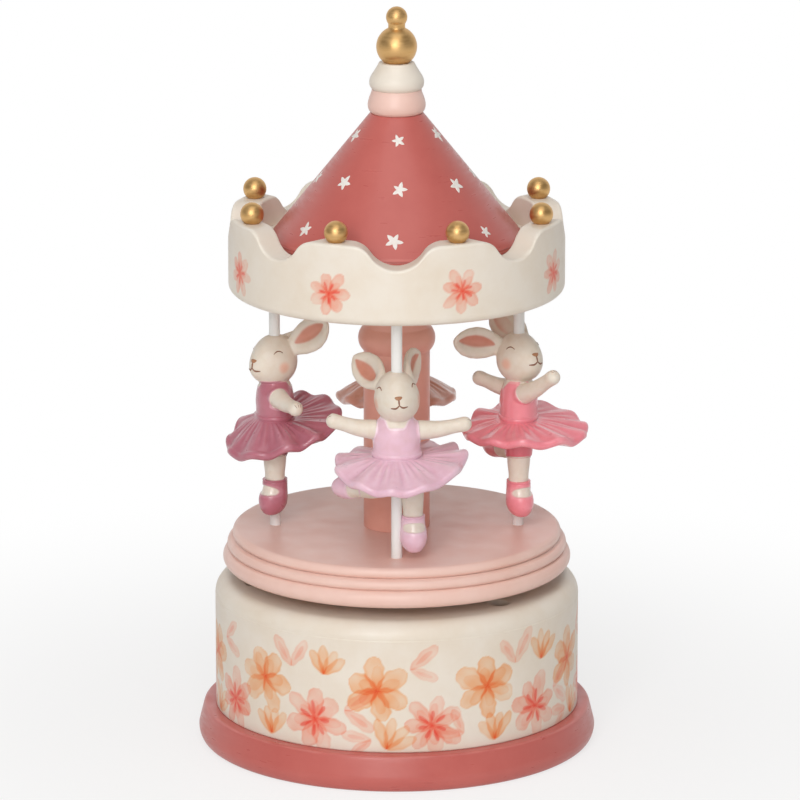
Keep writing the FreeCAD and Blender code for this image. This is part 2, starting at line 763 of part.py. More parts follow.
def make_pinned_cylinder():
    """Cylinder whose raised pins spell the tune, three to each tongue."""
    half = PIN_W / 2
    pieces = [shaft(CYLINDER_R, CYLINDER_X, CYLINDER_X + CYLINDER_L, 0, CYLINDER_Z)]
    for track in range(TONGUES):
        x = CYLINDER_X + TONGUE_PITCH * (track + 0.5)
        for beat in range(3):
            pin = block(x - half, x + half, -half, half, CYLINDER_R - PIN_H, CYLINDER_R + PIN_H)
            pin.rotate(V(0, 0, 0), V(1, 0, 0), 120 * beat + 47 * track)
            pieces.append(placed(pin, 0, 0, CYLINDER_Z))
    bore = shaft(CYLINDER_SHAFT_R + GLUE_GAP, CYLINDER_X - 1, CYLINDER_X + CYLINDER_L + 1, 0, CYLINDER_Z)
    return joined(pieces).cut(bore)


def comb_screw_points():
    """Return the centres of the comb's screws."""
    step = CYLINDER_L / COMB_SCREWS
    y = COMB_ROOT_Y - COMB_BACK / 2
    return [V(CYLINDER_X + step * (i + 0.5), y, 0) for i in range(COMB_SCREWS)]


def make_comb():
    """Steel plate slit into tongues, level with the cylinder's axis."""
    half = COMB_T / 2
    top = CYLINDER_Z + half
    comb = block(CYLINDER_X, CYLINDER_X + CYLINDER_L, COMB_END_Y, COMB_TIP_Y, CYLINDER_Z - half, top)
    cuts = [rod(COMB_SCREW_R + GLUE_GAP, CYLINDER_Z - 1, CYLINDER_Z + 1, p) for p in comb_screw_points()]
    for i in range(1, TONGUES):
        x = CYLINDER_X + TONGUE_PITCH * i
        side = TONGUE_SLIT / 2
        cuts.append(block(x - side, x + side, COMB_ROOT_Y, COMB_TIP_Y + 1, CYLINDER_Z - 1, CYLINDER_Z + 1))
    return comb.cut(cuts)


def make_comb_screws():
    """Screws that hold the comb to its boss from below."""
    low = CYLINDER_Z - COMB_T / 2
    screws = []
    for p in comb_screw_points():
        head = rod(COMB_HEAD_R, low - COMB_HEAD_H, low, p)
        screws.append(head.fuse(rod(COMB_SCREW_R, low, PLATE_Z, p)))
    return Part.makeCompound(screws)


def make_bedplate():
    """Plate under the drum's top with screw lugs, bearing lugs and the comb's boss."""
    rim = rod(DRUM_BORE_R - PLATE_RIM_GAP, PLATE_Z - DRUM_H, CEILING_Z)
    pieces = [block(-PLATE_BACK, PLATE_FRONT, -PLATE_COMB_SIDE, PLATE_FLY_SIDE, PLATE_Z, CEILING_Z)]
    for a, p in zip(around(SCREW_COUNT, SCREW_FIRST_DEG), screw_points()):
        arm = block(0, SCREW_CIRCLE_R, -LUG_R, LUG_R, PLATE_Z, CEILING_Z)
        pieces.append(turned_about_z(arm, a))
        pieces.append(rod(LUG_R, PLATE_Z - LUG_BOSS_H, CEILING_Z, p))
    lug_half = CYLINDER_SHAFT_R + LUG_MARGIN
    low = CYLINDER_Z - lug_half
    governor_edge = GOVERNOR_Y + GOVERNOR_SHAFT_R + LUG_EDGE
    pieces.append(block(NEAR_LUG_X, NEAR_LUG_X + LUG_T, -lug_half, lug_half, low, PLATE_Z))
    pieces.append(block(FAR_LUG_X, FAR_LUG_X + LUG_T, -lug_half, governor_edge, low, PLATE_Z))
    outer_y = GOVERNOR_Y - lug_half
    pieces.append(block(OUTER_LUG_X, OUTER_LUG_X + LUG_T, outer_y, governor_edge, low, PLATE_Z))
    boss_z = CYLINDER_Z + COMB_T / 2
    pieces.append(block(CYLINDER_X, CYLINDER_X + CYLINDER_L, COMB_END_Y, COMB_ROOT_Y, boss_z, PLATE_Z))
    plate = joined([piece.common(rim) for piece in pieces])
    cuts = [
        rod(SPINDLE_R + FREE_GAP, PLATE_Z - 1, CEILING_Z + 1),
        shaft(CYLINDER_SHAFT_R + RUN_GAP, NEAR_LUG_X - 1, FAR_LUG_X + LUG_T + 1, 0, CYLINDER_Z),
        shaft(GOVERNOR_SHAFT_R + RUN_GAP, FAR_LUG_X - 1, OUTER_LUG_X + LUG_T + 1, GOVERNOR_Y, CYLINDER_Z),
        rod(FLY_SHAFT_R + RUN_GAP, PLATE_Z - 1, PLATE_Z + PLATE_T / 2, V(WORM_X, WORM_Y, 0)),
        make_housing_tabs(GLUE_GAP),
    ]
    cuts += [rod(SCREW_R + GLUE_GAP, PLATE_Z - DRUM_H, CEILING_Z + 1, p) for p in screw_points()]
    cuts += [rod(COMB_SCREW_R + GLUE_GAP, boss_z - 1, PLATE_Z, p) for p in comb_screw_points()]
    return plate.cut(cuts)


def make_housing_tabs(room):
    """Staking tabs on the spring housing's rim, grown by a clearance when they cut their slots."""
    inner = HOUSING_R - HOUSING_WALL - room
    half = HOUSING_TAB_W / 2 + room
    tabs = []
    for a in around(HOUSING_TABS, 60.0):
        wall = rod(HOUSING_R + room, PLATE_Z - 1, CEILING_Z).cut(rod(inner, PLATE_Z - 1, CEILING_Z))
        strip = block(0, HOUSING_R + 1, -half, half, PLATE_Z, CEILING_Z)
        tabs.append(wall.common(turned_about_z(strip, a)))
    return Part.makeCompound(tabs)


def make_spring_housing():
    """Cup round the mainspring, open against the bedplate and staked to it."""
    cup = turned([
        (SPINDLE_R + RUN_GAP, HOUSING_Z),
        (HOUSING_R, HOUSING_Z),
        (HOUSING_R, PLATE_Z),
        (HOUSING_R - HOUSING_WALL, PLATE_Z),
        (HOUSING_R - HOUSING_WALL, HOUSING_Z + HOUSING_WALL),
        (SPINDLE_R + RUN_GAP, HOUSING_Z + HOUSING_WALL),
    ])
    return cup.fuse(make_housing_tabs(0.0)).removeSplitter()


def make_mainspring():
    """Spiral strip of half-circles on two centres, its outer turn against the housing's wall."""
    step = SPRING_PITCH / 2
    outer = HOUSING_R - HOUSING_WALL - GLUE_GAP - step / 2
    z = HOUSING_Z + HOUSING_WALL + GLUE_GAP
    outside = []
    inside = []
    for i in range(2 * SPRING_TURNS):
        side = 1 if i % 2 == 0 else -1
        center = V(side * -step / 2, 0, z)
        radius = outer - i * step
        for edges, r in ((outside, radius), (inside, radius - SPRING_T)):
            start = center + V(side * -r, 0, 0)
            middle = center + V(0, side * r, 0)
            end = center + V(side * r, 0, 0)
            edges.append(Part.Arc(start, middle, end).toShape())
    caps = [
        Part.makeLine(outside[0].firstVertex().Point, inside[0].firstVertex().Point),
        Part.makeLine(outside[-1].lastVertex().Point, inside[-1].lastVertex().Point),
    ]
    wire = Part.Wire(Part.__sortEdges__(outside + inside + caps))
    return Part.Face(wire).extrude(V(0, 0, SPRING_H))


def make_governor_shaft():
    """Shaft with the leaf pinion cut on it."""
    first = -90.0 + 180.0 / LEAF_TEETH
    leaf = toothed_disc(LEAF_TEETH, TRAIN_MODULE, WHEEL_FACE, first, GOVERNOR_SHAFT_R / 2)
    placed(leaf, WHEEL_X, GOVERNOR_Y, CYLINDER_Z)
    end_x = OUTER_LUG_X + LUG_T
    return joined([shaft(GOVERNOR_SHAFT_R, WHEEL_X, end_x, GOVERNOR_Y, CYLINDER_Z), leaf])


def make_worm_wheel():
    """Wheel that drives the worm."""
    bore = GOVERNOR_SHAFT_R + GLUE_GAP
    wheel = toothed_disc(WORM_WHEEL_TEETH, TRAIN_MODULE, WHEEL_FACE, 90.0, bore)
    return placed(wheel, WORM_WHEEL_X, GOVERNOR_Y, CYLINDER_Z)


def make_worm_spindle():
    """Upright worm on a thin spindle; a gap of its thread faces the wheel."""
    half = math.pi * TRAIN_MODULE * TOOTH_SHARE / 2
    slope = math.tan(math.radians(FLANK_DEG))
    core_r = WORM_PITCH_R - DEDENDUM * TRAIN_MODULE
    tip_r = WORM_PITCH_R + ADDENDUM * TRAIN_MODULE
    deep_r = core_r - GLUE_GAP
    deep = half + (WORM_PITCH_R - deep_r) * slope
    tip = half - (tip_r - WORM_PITCH_R) * slope
    corners = [V(deep_r, 0, -deep), V(tip_r, 0, -tip), V(tip_r, 0, tip), V(deep_r, 0, deep)]
    profile = Part.makePolygon(corners + corners[:1])
    helix = Part.makeHelix(WORM_PITCH, WORM_PITCH * WORM_TURNS, WORM_PITCH_R)
    thread = Part.Wire(helix.Edges).makePipeShell([profile], True, True)
    start = CYLINDER_Z - WORM_PITCH * (WORM_TURNS / 2 + 0.25)
    thread.translate(V(0, 0, start))
    core_z = start - WORM_PITCH
    core = rod(core_r, core_z, core_z + WORM_PITCH * (WORM_TURNS + 2))
    spindle = rod(FLY_SHAFT_R, FOOT_Z - BRACKET_T, PLATE_Z + PLATE_T / 2 - RUN_GAP)
    return placed(joined([core, spindle, thread]), WORM_X, WORM_Y, 0)


def make_fly_vanes():
    """Two-bladed air brake pressed on the worm's spindle."""
    half = FLY_T / 2
    vanes = block(-FLY_R, FLY_R, -half, half, FLY_Z, FLY_Z + FLY_H)
    hub = rod(FLY_SHAFT_R + 3 * FLY_T, FLY_Z, FLY_Z + FLY_H)
    fly = vanes.fuse(hub).cut(rod(FLY_SHAFT_R + GLUE_GAP, FLY_Z - 1, FLY_Z + FLY_H + 1))
    return placed(fly, WORM_X, WORM_Y, 0)


def make_governor_bracket():
    """Bent strip from the bedplate that carries the worm's foot."""
    wall_y = WORM_Y + FLY_R + FREE_GAP
    half = BRACKET_W / 2
    low = FOOT_Z - BRACKET_T
    wall = block(WORM_X - half, WORM_X + half, wall_y, wall_y + BRACKET_T, low, PLATE_Z)
    foot = block(WORM_X - half, WORM_X + half, WORM_Y - half, wall_y, low, FOOT_Z)
    hole = rod(FLY_SHAFT_R + RUN_GAP, low - 1, FOOT_Z + 1, V(WORM_X, WORM_Y, 0))
    return wall.fuse(foot).removeSplitter().cut(hole)


def oval(at, along, wide, thick, across):
    """Return an ellipse at a point, square to a direction, its long half-axis along another."""
    edge = Part.Ellipse(V(0, 0, 0), wide, thick).toShape()
    edge.Placement = Placement(at, Rotation(across, along.cross(across), along, "ZXY"))
    return Part.Wire(edge)


def limb(points, radii):
    """Loft through circles along a path of points."""
    wires = []
    for i, (p, r) in enumerate(zip(points, radii)):
        along = points[min(i + 1, len(points) - 1)] - points[max(i - 1, 0)]
        wires.append(Part.Wire(Part.Circle(p, along, r).toShape()))
    return Part.makeLoft(wires, True)


def head_rotation(pose):
    """Return the turn, nod and roll of a dancer's head."""
    turn = Rotation(V(0, 0, 1), pose.head_turn_deg)
    nod = Rotation(V(1, 0, 0), pose.head_nod_deg)
    return turn.multiply(nod).multiply(Rotation(V(0, 1, 0), -pose.head_roll_deg))


def make_head(pose):
    """Round head with a muzzle that lengthens it to the front."""
    s = math.sqrt(0.5)
    skull = turned([
        (0, -HEAD_LOW),
        ((HEAD_R * s, -HEAD_LOW * s), (HEAD_R, 0)),
        ((HEAD_R * s, HEAD_HIGH * s), (0, HEAD_HIGH)),
    ])
    muzzle = Part.makeSphere(MUZZLE_R, V(0, MUZZLE_R - HEAD_FRONT, -MUZZLE_DROP))
    head = skull.fuse(muzzle)
    head.Placement = Placement(V(0, 0, HEAD_Z - pose.head_sink), head_rotation(pose))
    return head


def make_ear(pose, side, lie):
    """Flat leaf from the side of the head; `lie` is the way along it and the way that it opens."""
    along, opening = (V(side * x, y, z) for x, y, z in lie)
    along.normalize()
    across = along.cross(opening).normalize()
    root = head_rotation(pose).multVec(V(side * EAR_OUT, EAR_BACK, EAR_RISE))
    root += V(0, 0, HEAD_Z - pose.head_sink)
    shape = (
        (-0.1, 0.45, 0.8), (0.2, 0.85, 1.0), (0.5, 1.0, 1.0),
        (0.78, 0.82, 0.9), (0.94, 0.48, 0.6), (1.0, 0.18, 0.3),
    )
    wires = []
    for run, wide, thick in shape:
        wires.append(oval(root + along * (EAR_L * run), along, EAR_HALF_W * wide, EAR_HALF_T * thick, across))
    return Part.makeLoft(wires, True)


def make_torso():
    """Bodice from the hips to the neck."""
    up = V(0, 0, 1)
    right = V(-1, 0, 0)
    levels = (
        (HIP_Z, HIP_R, HIP_R * 0.95),
        (WAIST_Z, WAIST_HALF_W, WAIST_HALF_D),
        (CHEST_Z, CHEST_HALF_W, CHEST_HALF_D),
        ((CHEST_Z + NECK_Z) / 2, CHEST_HALF_W * 0.92, CHEST_HALF_D * 0.9),
        (NECK_Z + 1, DANCER_NECK_R * 1.02, DANCER_NECK_R),
    )
    return Part.makeLoft([oval(V(0, 0, z), up, w, d, right) for z, w, d in levels], True)


def make_tutu(pose):
    """Skirt ruled from the waist to a waved rim and back under to the hips; it tips and folds as posed."""
    pitch = math.tan(math.radians(pose.pitch_deg))
    roll = math.tan(math.radians(pose.roll_deg))
    middle = V(*pose.tutu_shift, WAIST_Z)

    def rim(drop, radius):
        points = []
        for a in around(4 * TUTU_RUFFLES):
            wave = math.cos(math.radians(a * TUTU_RUFFLES))
            p = polar(radius + RUFFLE_OUT * wave, a)
            hang = pitch * p.y + roll * p.x - pose.fold * (p.y / pose.tutu_r) ** 2
            points.append(middle + p + V(0, 0, hang - drop + RUFFLE_H * wave))
        curve = Part.BSplineCurve()
        curve.interpolate(Points=points, PeriodicFlag=True)
        return Part.Wire(curve.toShape())

    waist = oval(V(0, 0, WAIST_Z + 0.6), V(0, 0, 1), WAIST_HALF_W * 0.85, WAIST_HALF_D * 0.85, V(1, 0, 0))
    hips = oval(V(0, 0, HIP_Z + 1), V(0, 0, 1), HIP_R * 0.85, HIP_R * 0.8, V(1, 0, 0))
    lower = rim(pose.rim_drop + TUTU_EDGE, pose.tutu_r - RUFFLE_OUT)
    upper = rim(pose.rim_drop, pose.tutu_r)
    return Part.makeLoft([hips, lower, upper, waist], True, True)


def make_arm(side, reach):
    """Stubby arm from the shoulder to a hand; `reach` is the hand's place from the shoulder."""
    shoulder = V(side * SHOULDER_OUT, 0, SHOULDER_Z)
    hand = shoulder + V(side * reach[0], reach[1], reach[2])
    elbow = (shoulder + hand) * 0.5 + V(0, 0, -ELBOW_SAG)
    arm = limb([shoulder, elbow, hand], [ARM_R, (ARM_R + WRIST_R) / 2, WRIST_R])
    return [arm, Part.makeSphere(HAND_R, hand)]


def make_shoe(sole, turn_deg):
    """Pointed slipper over a toe, turned out to the dancer's left."""
    up = V(0, 0, 1)
    ahead = Rotation(up, turn_deg).multVec(V(0, 1, 0))
    shape = ((0.0, 0.35, 1.0), (0.2, 0.8, 0.9), (0.6, 1.0, 0.5), (1.0, 0.8, 0.0))
    wires = []
    for rise, size, lead in shape:
        at = sole - ahead * (SHOE_LEAD * lead) + V(0, 0, SHOE_H * rise)
        wires.append(oval(at, up, SHOE_HALF_L * size, SHOE_HALF_W * size, ahead))
    return Part.makeLoft(wires, True)


def make_legs(pose):
    """Standing leg on its toe beside the pole, and the other leg raised behind."""
    sole = V(LEG_OUT, 0, TOE_LIFT)
    hip = V(LEG_OUT * 0.8, 0, HIP_Z + TUTU_EDGE)
    standing = limb([sole + V(0, 0, SHOE_H * 0.75), hip], [ANKLE_R, LEG_R])
    swing = Rotation(V(0, 0, 1), pose.leg_swing_deg)
    raise_by = V(0, 0, pose.leg_raise / 2)
    start = V(0, 0, HIP_Z + 1) + swing.multVec(RAISED_HIP)
    knee = start + swing.multVec(RAISED_SHIN) + raise_by
    heel = knee + swing.multVec(RAISED_FOOT) + raise_by
    toe = heel + swing.multVec(RAISED_TOE)
    raised = limb([start, knee, heel], [LEG_R, LEG_R * 0.95, ANKLE_R])
    slipper = limb(
        [heel, heel + (toe - heel) * 0.4, heel + (toe - heel) * 0.85, toe],
        [ANKLE_R * 1.08, SHOE_HALF_W, SHOE_HALF_W * 0.7, SHOE_HALF_W * 0.3],
    )
    return [standing, make_shoe(sole, pose.toe_turn_deg), raised, slipper]


def make_dancer(at, facing_deg, pose):
    """Rabbit dancer bored for its pole, facing outward from the column."""
    body = [make_torso(), make_head(pose), make_tutu(pose)]
    body += [make_ear(pose, -1, pose.right_ear), make_ear(pose, 1, pose.left_ear)]
    body += make_legs(pose)
    body += make_arm(-1, pose.right_reach)
    body += make_arm(1, pose.left_reach)
    figure = body[0].multiFuse(body[1:])
    figure = figure.cut(rod(POLE_R + GLUE_GAP, -1, 2 * HEAD_Z))
    if pose.mirrored:
        figure = figure.mirror(V(0, 0, 0), V(1, 0, 0))
    figure.rotate(V(0, 0, 0), V(0, 0, 1), facing_deg)
    return placed(figure, at.x, at.y, PLATFORM_TOP_Z + pose.lift)


def make_dancers():
    """Four dancers from one pattern, each in its own pose."""
    dancers = {}
    for (name, pose), at, facing in zip(POSES.items(), pole_points(), around(POLE_COUNT)):
        dancers["dancer_" + name] = make_dancer(at, facing, pose)
    return dancers


def make_parts():
    """Return every piece by its name."""
    parts = {
        "plinth": make_plinth(),
        "drum": make_drum(),
        "spindle_bush": make_spindle_bush(),
        "movement_screws": make_movement_screws(),
        "bedplate": make_bedplate(),
        "spring_housing": make_spring_housing(),
        "mainspring": make_mainspring(),
        "comb": make_comb(),
        "comb_screws": make_comb_screws(),
        "governor_bracket": make_governor_bracket(),
        "pinned_cylinder": make_pinned_cylinder(),
        "cylinder_shaft": make_cylinder_shaft(),
        "cylinder_pinion": make_cylinder_pinion(),
        "cylinder_wheel": make_cylinder_wheel(),
        "governor_shaft": make_governor_shaft(),
        "worm_wheel": make_worm_wheel(),
        "worm_spindle": make_worm_spindle(),
        "fly_vanes": make_fly_vanes(),
        "spindle": make_spindle(),
        "drive_wheel": make_drive_wheel(),
        "platform": make_platform(),
        "center_column": make_center_column(),
        "canopy_board": make_canopy_board(),
        "crown_ring": make_crown_ring(),
        "roof_cone": make_roof_cone(),
        "finial_collar": make_finial_collar(),
        "finial_bell": make_finial_bell(),
        "finial_knob": make_finial_knob(),
        "finial_pin": make_finial_pin(),
    }
    for i, p in enumerate(bead_points()):
        parts["crown_bead_%d" % (i + 1)] = make_crown_bead(p)
    for name, p in zip(("front", "right", "back", "left"), pole_points()):
        parts["pole_" + name] = make_pole(p)
    parts.update(make_dancers())
    return parts


def main():
    """Write one file per piece."""
    os.makedirs("parts", exist_ok=True)
    for name, shape in make_parts().items():
        shape.exportStep("parts/" + name + ".step")


main()
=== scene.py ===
"""Dress the carousel music box: turned painted wood, cast resin rabbit dancers and a brass movement.

Lengths are millimetres; Blender's metres come in only where a mesh, a lamp or the camera is made.
"""

import logging
import math
from dataclasses import dataclass, field, replace
from enum import Enum
from typing import Mapping, Optional, Sequence, Union

import bpy
import numpy as np
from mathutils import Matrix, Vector


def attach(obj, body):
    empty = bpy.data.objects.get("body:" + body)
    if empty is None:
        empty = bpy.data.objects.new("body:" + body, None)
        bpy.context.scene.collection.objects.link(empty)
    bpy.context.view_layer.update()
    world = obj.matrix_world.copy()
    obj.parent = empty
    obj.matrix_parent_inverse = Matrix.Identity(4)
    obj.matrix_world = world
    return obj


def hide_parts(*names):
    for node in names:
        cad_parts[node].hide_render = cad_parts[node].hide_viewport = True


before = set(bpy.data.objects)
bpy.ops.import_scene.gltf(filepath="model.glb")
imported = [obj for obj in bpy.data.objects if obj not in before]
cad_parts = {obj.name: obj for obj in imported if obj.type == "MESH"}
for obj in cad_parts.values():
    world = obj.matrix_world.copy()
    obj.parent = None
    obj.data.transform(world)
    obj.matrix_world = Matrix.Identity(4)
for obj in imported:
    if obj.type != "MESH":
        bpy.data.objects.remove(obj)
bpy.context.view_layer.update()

LOG = logging.getLogger("music_box")
MM = 0.001
NEAR_AXIS = 0.4
PLATFORM_Z = 60.2
POLE_CIRCLE_R = 33.5
Array = np.ndarray
Feed = Union[bpy.types.NodeSocket, float, tuple]


class Body(Enum):
    """The moving bodies that pieces ride on."""

    BASE = "base"
    CAROUSEL = "carousel"


class Slot(Enum):
    """The record's finishes, listed for the dancers and the finial but given to no piece."""

    ROSE = "rose_paint"
    CREAM = "cream_paint"
    PALE_PINK = "pale_pink_paint"
    SALMON = "salmon_paint"
    GOLD = "gold_paint"
    WHITE = "white_paint"
    LILAC = "dancer_lilac"
    CORAL = "dancer_coral"
    PEACH = "dancer_peach"
    PLUM = "dancer_plum"


def linear(hex_colour: str) -> tuple[float, float, float, float]:
    """Turn an sRGB hex value into linear RGBA."""
    srgb = np.array([int(hex_colour[i:i + 2], 16) for i in (1, 3, 5)]) / 255.0
    rgb = np.where(srgb <= 0.04045, srgb / 12.92, ((srgb + 0.055) / 1.055) ** 2.4)
    return (*rgb.tolist(), 1.0)


def rgb(hex_colour: str) -> Array:
    """Turn an sRGB hex value into a linear RGB array."""
    return np.array(linear(hex_colour)[:3])


def add_node(
    tree: bpy.types.NodeTree,
    kind: str,
    feeds: Optional[Mapping[Union[str, int], Feed]] = None,
    **settings: object,
) -> bpy.types.Node:
    """Add one shader node with its settings and links.

    Args:
        tree: The node tree that gets the node.
        kind: Blender's name for the node's type.
        feeds: For each input socket, the output linked to it or its own value.
        settings: The node's properties.

    Returns:
        The new node.
    """
    made = tree.nodes.new(kind)
    for key, value in settings.items():
        setattr(made, key, value)
    for key, value in (feeds or {}).items():
        if isinstance(value, bpy.types.NodeSocket):
            tree.links.new(value, made.inputs[key])
        else:
            made.inputs[key].default_value = value
    return made


def per_mm(size: float) -> float:
    """Texture scale in metres at which one feature is about `size` millimetres."""
    return 1.0 / (size * MM)


def smoothstep(low: float, high: float, value: Array) -> Array:
    """Rise from 0 at low to 1 at high along 3t^2 - 2t^3."""
    t = np.clip((value - low) / (high - low), 0.0, 1.0)
    return t * t * (3.0 - 2.0 * t)


@dataclass
class Surface:
    """A closed surface: points in millimetres, faces as point numbers, and linear RGB paint."""

    points: Array
    quads: Array
    triangles: Array
    paint: Optional[Array] = None
    wear: Optional[Array] = None

    def painted(self, colour: str) -> "Surface":
        """Give every point one colour."""
        self.paint = np.tile(rgb(colour), (len(self.points), 1))
        return self

    def placed(self, turn: Array, at: Sequence[float]) -> "Surface":
        """Turn the surface by a matrix, then shift it; a mirror also turns its faces round.

        Args:
            turn: Three by three matrix.
            at: Shift in millimetres.

        Returns:
            The surface in its new place.
        """
        step = -1 if np.linalg.det(turn) < 0 else 1
        return Surface(
            self.points @ turn.T + np.asarray(at, float),
            self.quads[:, ::step],
            self.triangles[:, ::step],
            self.paint,
            self.wear,
        )


def net(rows: int, cols: int, wrap_rows: bool) -> Array:
    """Quads of a grid whose columns wrap, wound so that rows climbing an outer wall face outwards."""
    i = np.arange(rows if wrap_rows else rows - 1)[:, None]
    j = np.arange(cols)[None, :]
    right = (j + 1) % cols
    above = (i + 1) % rows
    corners = (i * cols + j, i * cols + right, above * cols + right, above * cols + j)
    return np.stack(np.broadcast_arrays(*corners), axis=-1).reshape(-1, 4)


def skin(rings: Array, wear: Optional[Array] = None, paint: Optional[Array] = None) -> Surface:
    """Cover a row of rings and close each end by a fan to the middle of its end ring.

    Args:
        rings: Points as rows, columns and three, the columns anticlockwise about the rows' direction.
        wear: How worn the edge is at each row.
        paint: Linear RGB as rows, columns and three.

    Returns:
        The closed surface.
    """
    rows, cols = rings.shape[:2]
    points = np.vstack([rings.reshape(-1, 3), rings[0].mean(0), rings[-1].mean(0)])
    j = np.arange(cols)
    right = (j + 1) % cols
    foot = np.stack([np.full(cols, rows * cols), right, j], axis=1)
    top = (rows - 1) * cols
    head = np.stack([np.full(cols, rows * cols + 1), top + j, top + right], axis=1)
    made = Surface(points, net(rows, cols, False), np.vstack([foot, head]))
    if wear is not None:
        made.wear = np.concatenate([np.repeat(wear, cols), wear[[0, -1]]])
    if paint is not None:
        made.paint = np.vstack([paint.reshape(-1, 3), paint[0].mean(0), paint[-1].mean(0)])
    return made


def hoop(rings: Array, wear: Optional[Array] = None, paint: Optional[Array] = None) -> Surface:
    """Cover rings that close on themselves both ways, as a bored ring does.

    Args:
        rings: Points as rows, columns and three.
        wear: How worn the edge is at each row.
        paint: Linear RGB as rows, columns and three.

    Returns:
        The closed surface.
    """
    rows, cols = rings.shape[:2]
    made = Surface(rings.reshape(-1, 3), net(rows, cols, True), np.zeros((0, 3), int))
    if wear is not None:
        made.wear = np.repeat(wear, cols)
    if paint is not None:
        made.paint = paint.reshape(-1, 3)
    return made


def outline(
    corners: Sequence[tuple[float, float, float]], closed: bool, step: float = 1.4,
) -> tuple[Array, Array]:
    """Round the corners of a turned piece's outline.

    A corner is the quadratic curve from a point on one side to a point on the next, both at the rounding's
    distance from the corner. The straight runs are divided so that shading stays flat on them.

    Args:
        corners: (radius, height, rounding), anticlockwise, up the outer side.
        closed: Whether the last corner joins the first, as in a bored piece.
        step: Longest piece of a straight run.

    Returns:
        The outline's (radius, height) points, and the wear at each: 1 at a rounding's middle.
    """
    spots = np.array([c[:2] for c in corners], float)
    reach = np.array([c[2] for c in corners], float)
    count = len(spots)
    t = np.linspace(0.0, 1.0, 6)[:, None]
    runs: list[Array] = []
    wears: list[Array] = []
    for i in range(count):
        before, here, after = spots[i - 1], spots[i], spots[(i + 1) % count]
        if reach[i] > 0:
            start = here + (before - here) * reach[i] / np.linalg.norm(before - here)
            end = here + (after - here) * reach[i] / np.linalg.norm(after - here)
            runs.append((1 - t) ** 2 * start + 2 * t * (1 - t) * here + t ** 2 * end)
            wears.append(np.sin(np.pi * t[:, 0]))
        else:
            end = here
            runs.append(here[None, :])
            wears.append(np.zeros(1))
        if i + 1 < count or closed:
            goal = after + (here - after) * reach[(i + 1) % count] / np.linalg.norm(here - after)
            pieces = max(int(np.linalg.norm(goal - end) / step), 1) + 1
            share = np.linspace(0.0, 1.0, pieces + 1)[1:-1, None]
            runs.append(end + (goal - end) * share)
            wears.append(np.zeros(len(share)))
    return np.vstack(runs), np.concatenate(wears)


def lathe(
    profile: Array, wear: Array, closed: bool, columns: int = 192, at: Sequence[float] = (0, 0),
) -> Surface:
    """Turn an outline about an upright axis: (r cos a, r sin a, z).

    Args:
        profile: (radius, height) points.
        wear: Wear at each point.
        closed: Whether the piece is bored through.
        columns: Points round the axis.
        at: The axis' place.

    Returns:
        The turned surface.
    """
    a = np.arange(columns) * 2 * np.pi / columns
    r = profile[:, :1]
    z = np.broadcast_to(profile[:, 1:], (len(profile), columns))
    rings = np.stack([at[0] + r * np.cos(a), at[1] + r * np.sin(a), z], axis=-1)
    return hoop(rings, wear) if closed else skin(rings, wear)


def through(stations: Sequence[Sequence[float]], count: int) -> Array:
    """Draw a Catmull-Rom curve through stations: a cubic per span, its end slopes set by the neighbours.

    Args:
        stations: The rows of numbers to pass through.
        count: How many rows to return.

    Returns:
        Evenly spaced rows along the curve.
    """
    p = np.asarray(stations, float)
    s = np.linspace(0.0, len(p) - 1.0, count)
    i = np.minimum(s.astype(int), len(p) - 2)
    t = (s - i)[:, None]
    p0, p1, p2, p3 = (p[np.clip(i + k, 0, len(p) - 1)] for k in (-1, 0, 1, 2))
    cubic = -p0 + 3 * p1 - 3 * p2 + p3
    square = 2 * p0 - 5 * p1 + 4 * p2 - p3
    return 0.5 * (2 * p1 + (p2 - p0) * t + square * t ** 2 + cubic * t ** 3)


def bead_arc(radius: float, sag: float, low_z: float, height: float, count: int) -> Array:
    """Draw a bead's side: the arc of a circle that stands out by a sag between two grooves.

    Args:
        radius: The bead's largest radius.
        sag: How far it stands out of its grooves.
        low_z: Height of the lower groove.
        height: Distance between the grooves.
        count: How many points to return.

    Returns:
        (radius, height) points from the lower groove up.
    """
    arc_r = (sag ** 2 + (height / 2) ** 2) / (2 * sag)
    half = math.asin(min(height / 2 / arc_r, 1.0))
    a = np.linspace(-half, half, count)
    return np.stack([radius - arc_r * (1 - np.cos(a)), low_z + height / 2 + arc_r * np.sin(a)], axis=1)


def unit(vectors: Array) -> Array:
    """Scale vectors to length 1."""
    return vectors / np.linalg.norm(vectors, axis=-1, keepdims=True)


def sweep(path: Array, ahead: Array, aside: Array, facing: Sequence[float], columns: int = 40) -> Array:
    """Carry an oval along a path: c + ahead cos(a) n + aside sin(a) (t x n).

    t is the path's direction and n the facing direction squared to it.

    Args:
        path: Centre points.
        ahead: Half-size along the facing direction at each point.
        aside: Half-size across it.
        facing: Direction in which the oval's first point lies.
        columns: Points round the oval.

    Returns:
        Rings of points.
    """
    t = unit(np.gradient(path, axis=0))
    n = np.asarray(facing, float) - t * (t @ np.asarray(facing, float))[:, None]
    n = unit(n)
    b = np.cross(t, n)
    a = np.arange(columns) * 2 * np.pi / columns
    forward = (ahead[:, None] * np.cos(a))[..., None] * n[:, None, :]
    sideways = (aside[:, None] * np.sin(a))[..., None] * b[:, None, :]
    return path[:, None, :] + forward + sideways


def azimuth_wrap(angle: Array) -> Array:
    """Bring angles in radians to the range from -pi to pi."""
    return (angle + np.pi) % (2 * np.pi) - np.pi


def turn_z(degrees: float) -> Array:
    """Matrix of a turn about the upright axis."""
    c, s = math.cos(math.radians(degrees)), math.sin(math.radians(degrees))
    return np.array([[c, -s, 0], [s, c, 0], [0, 0, 1.0]])


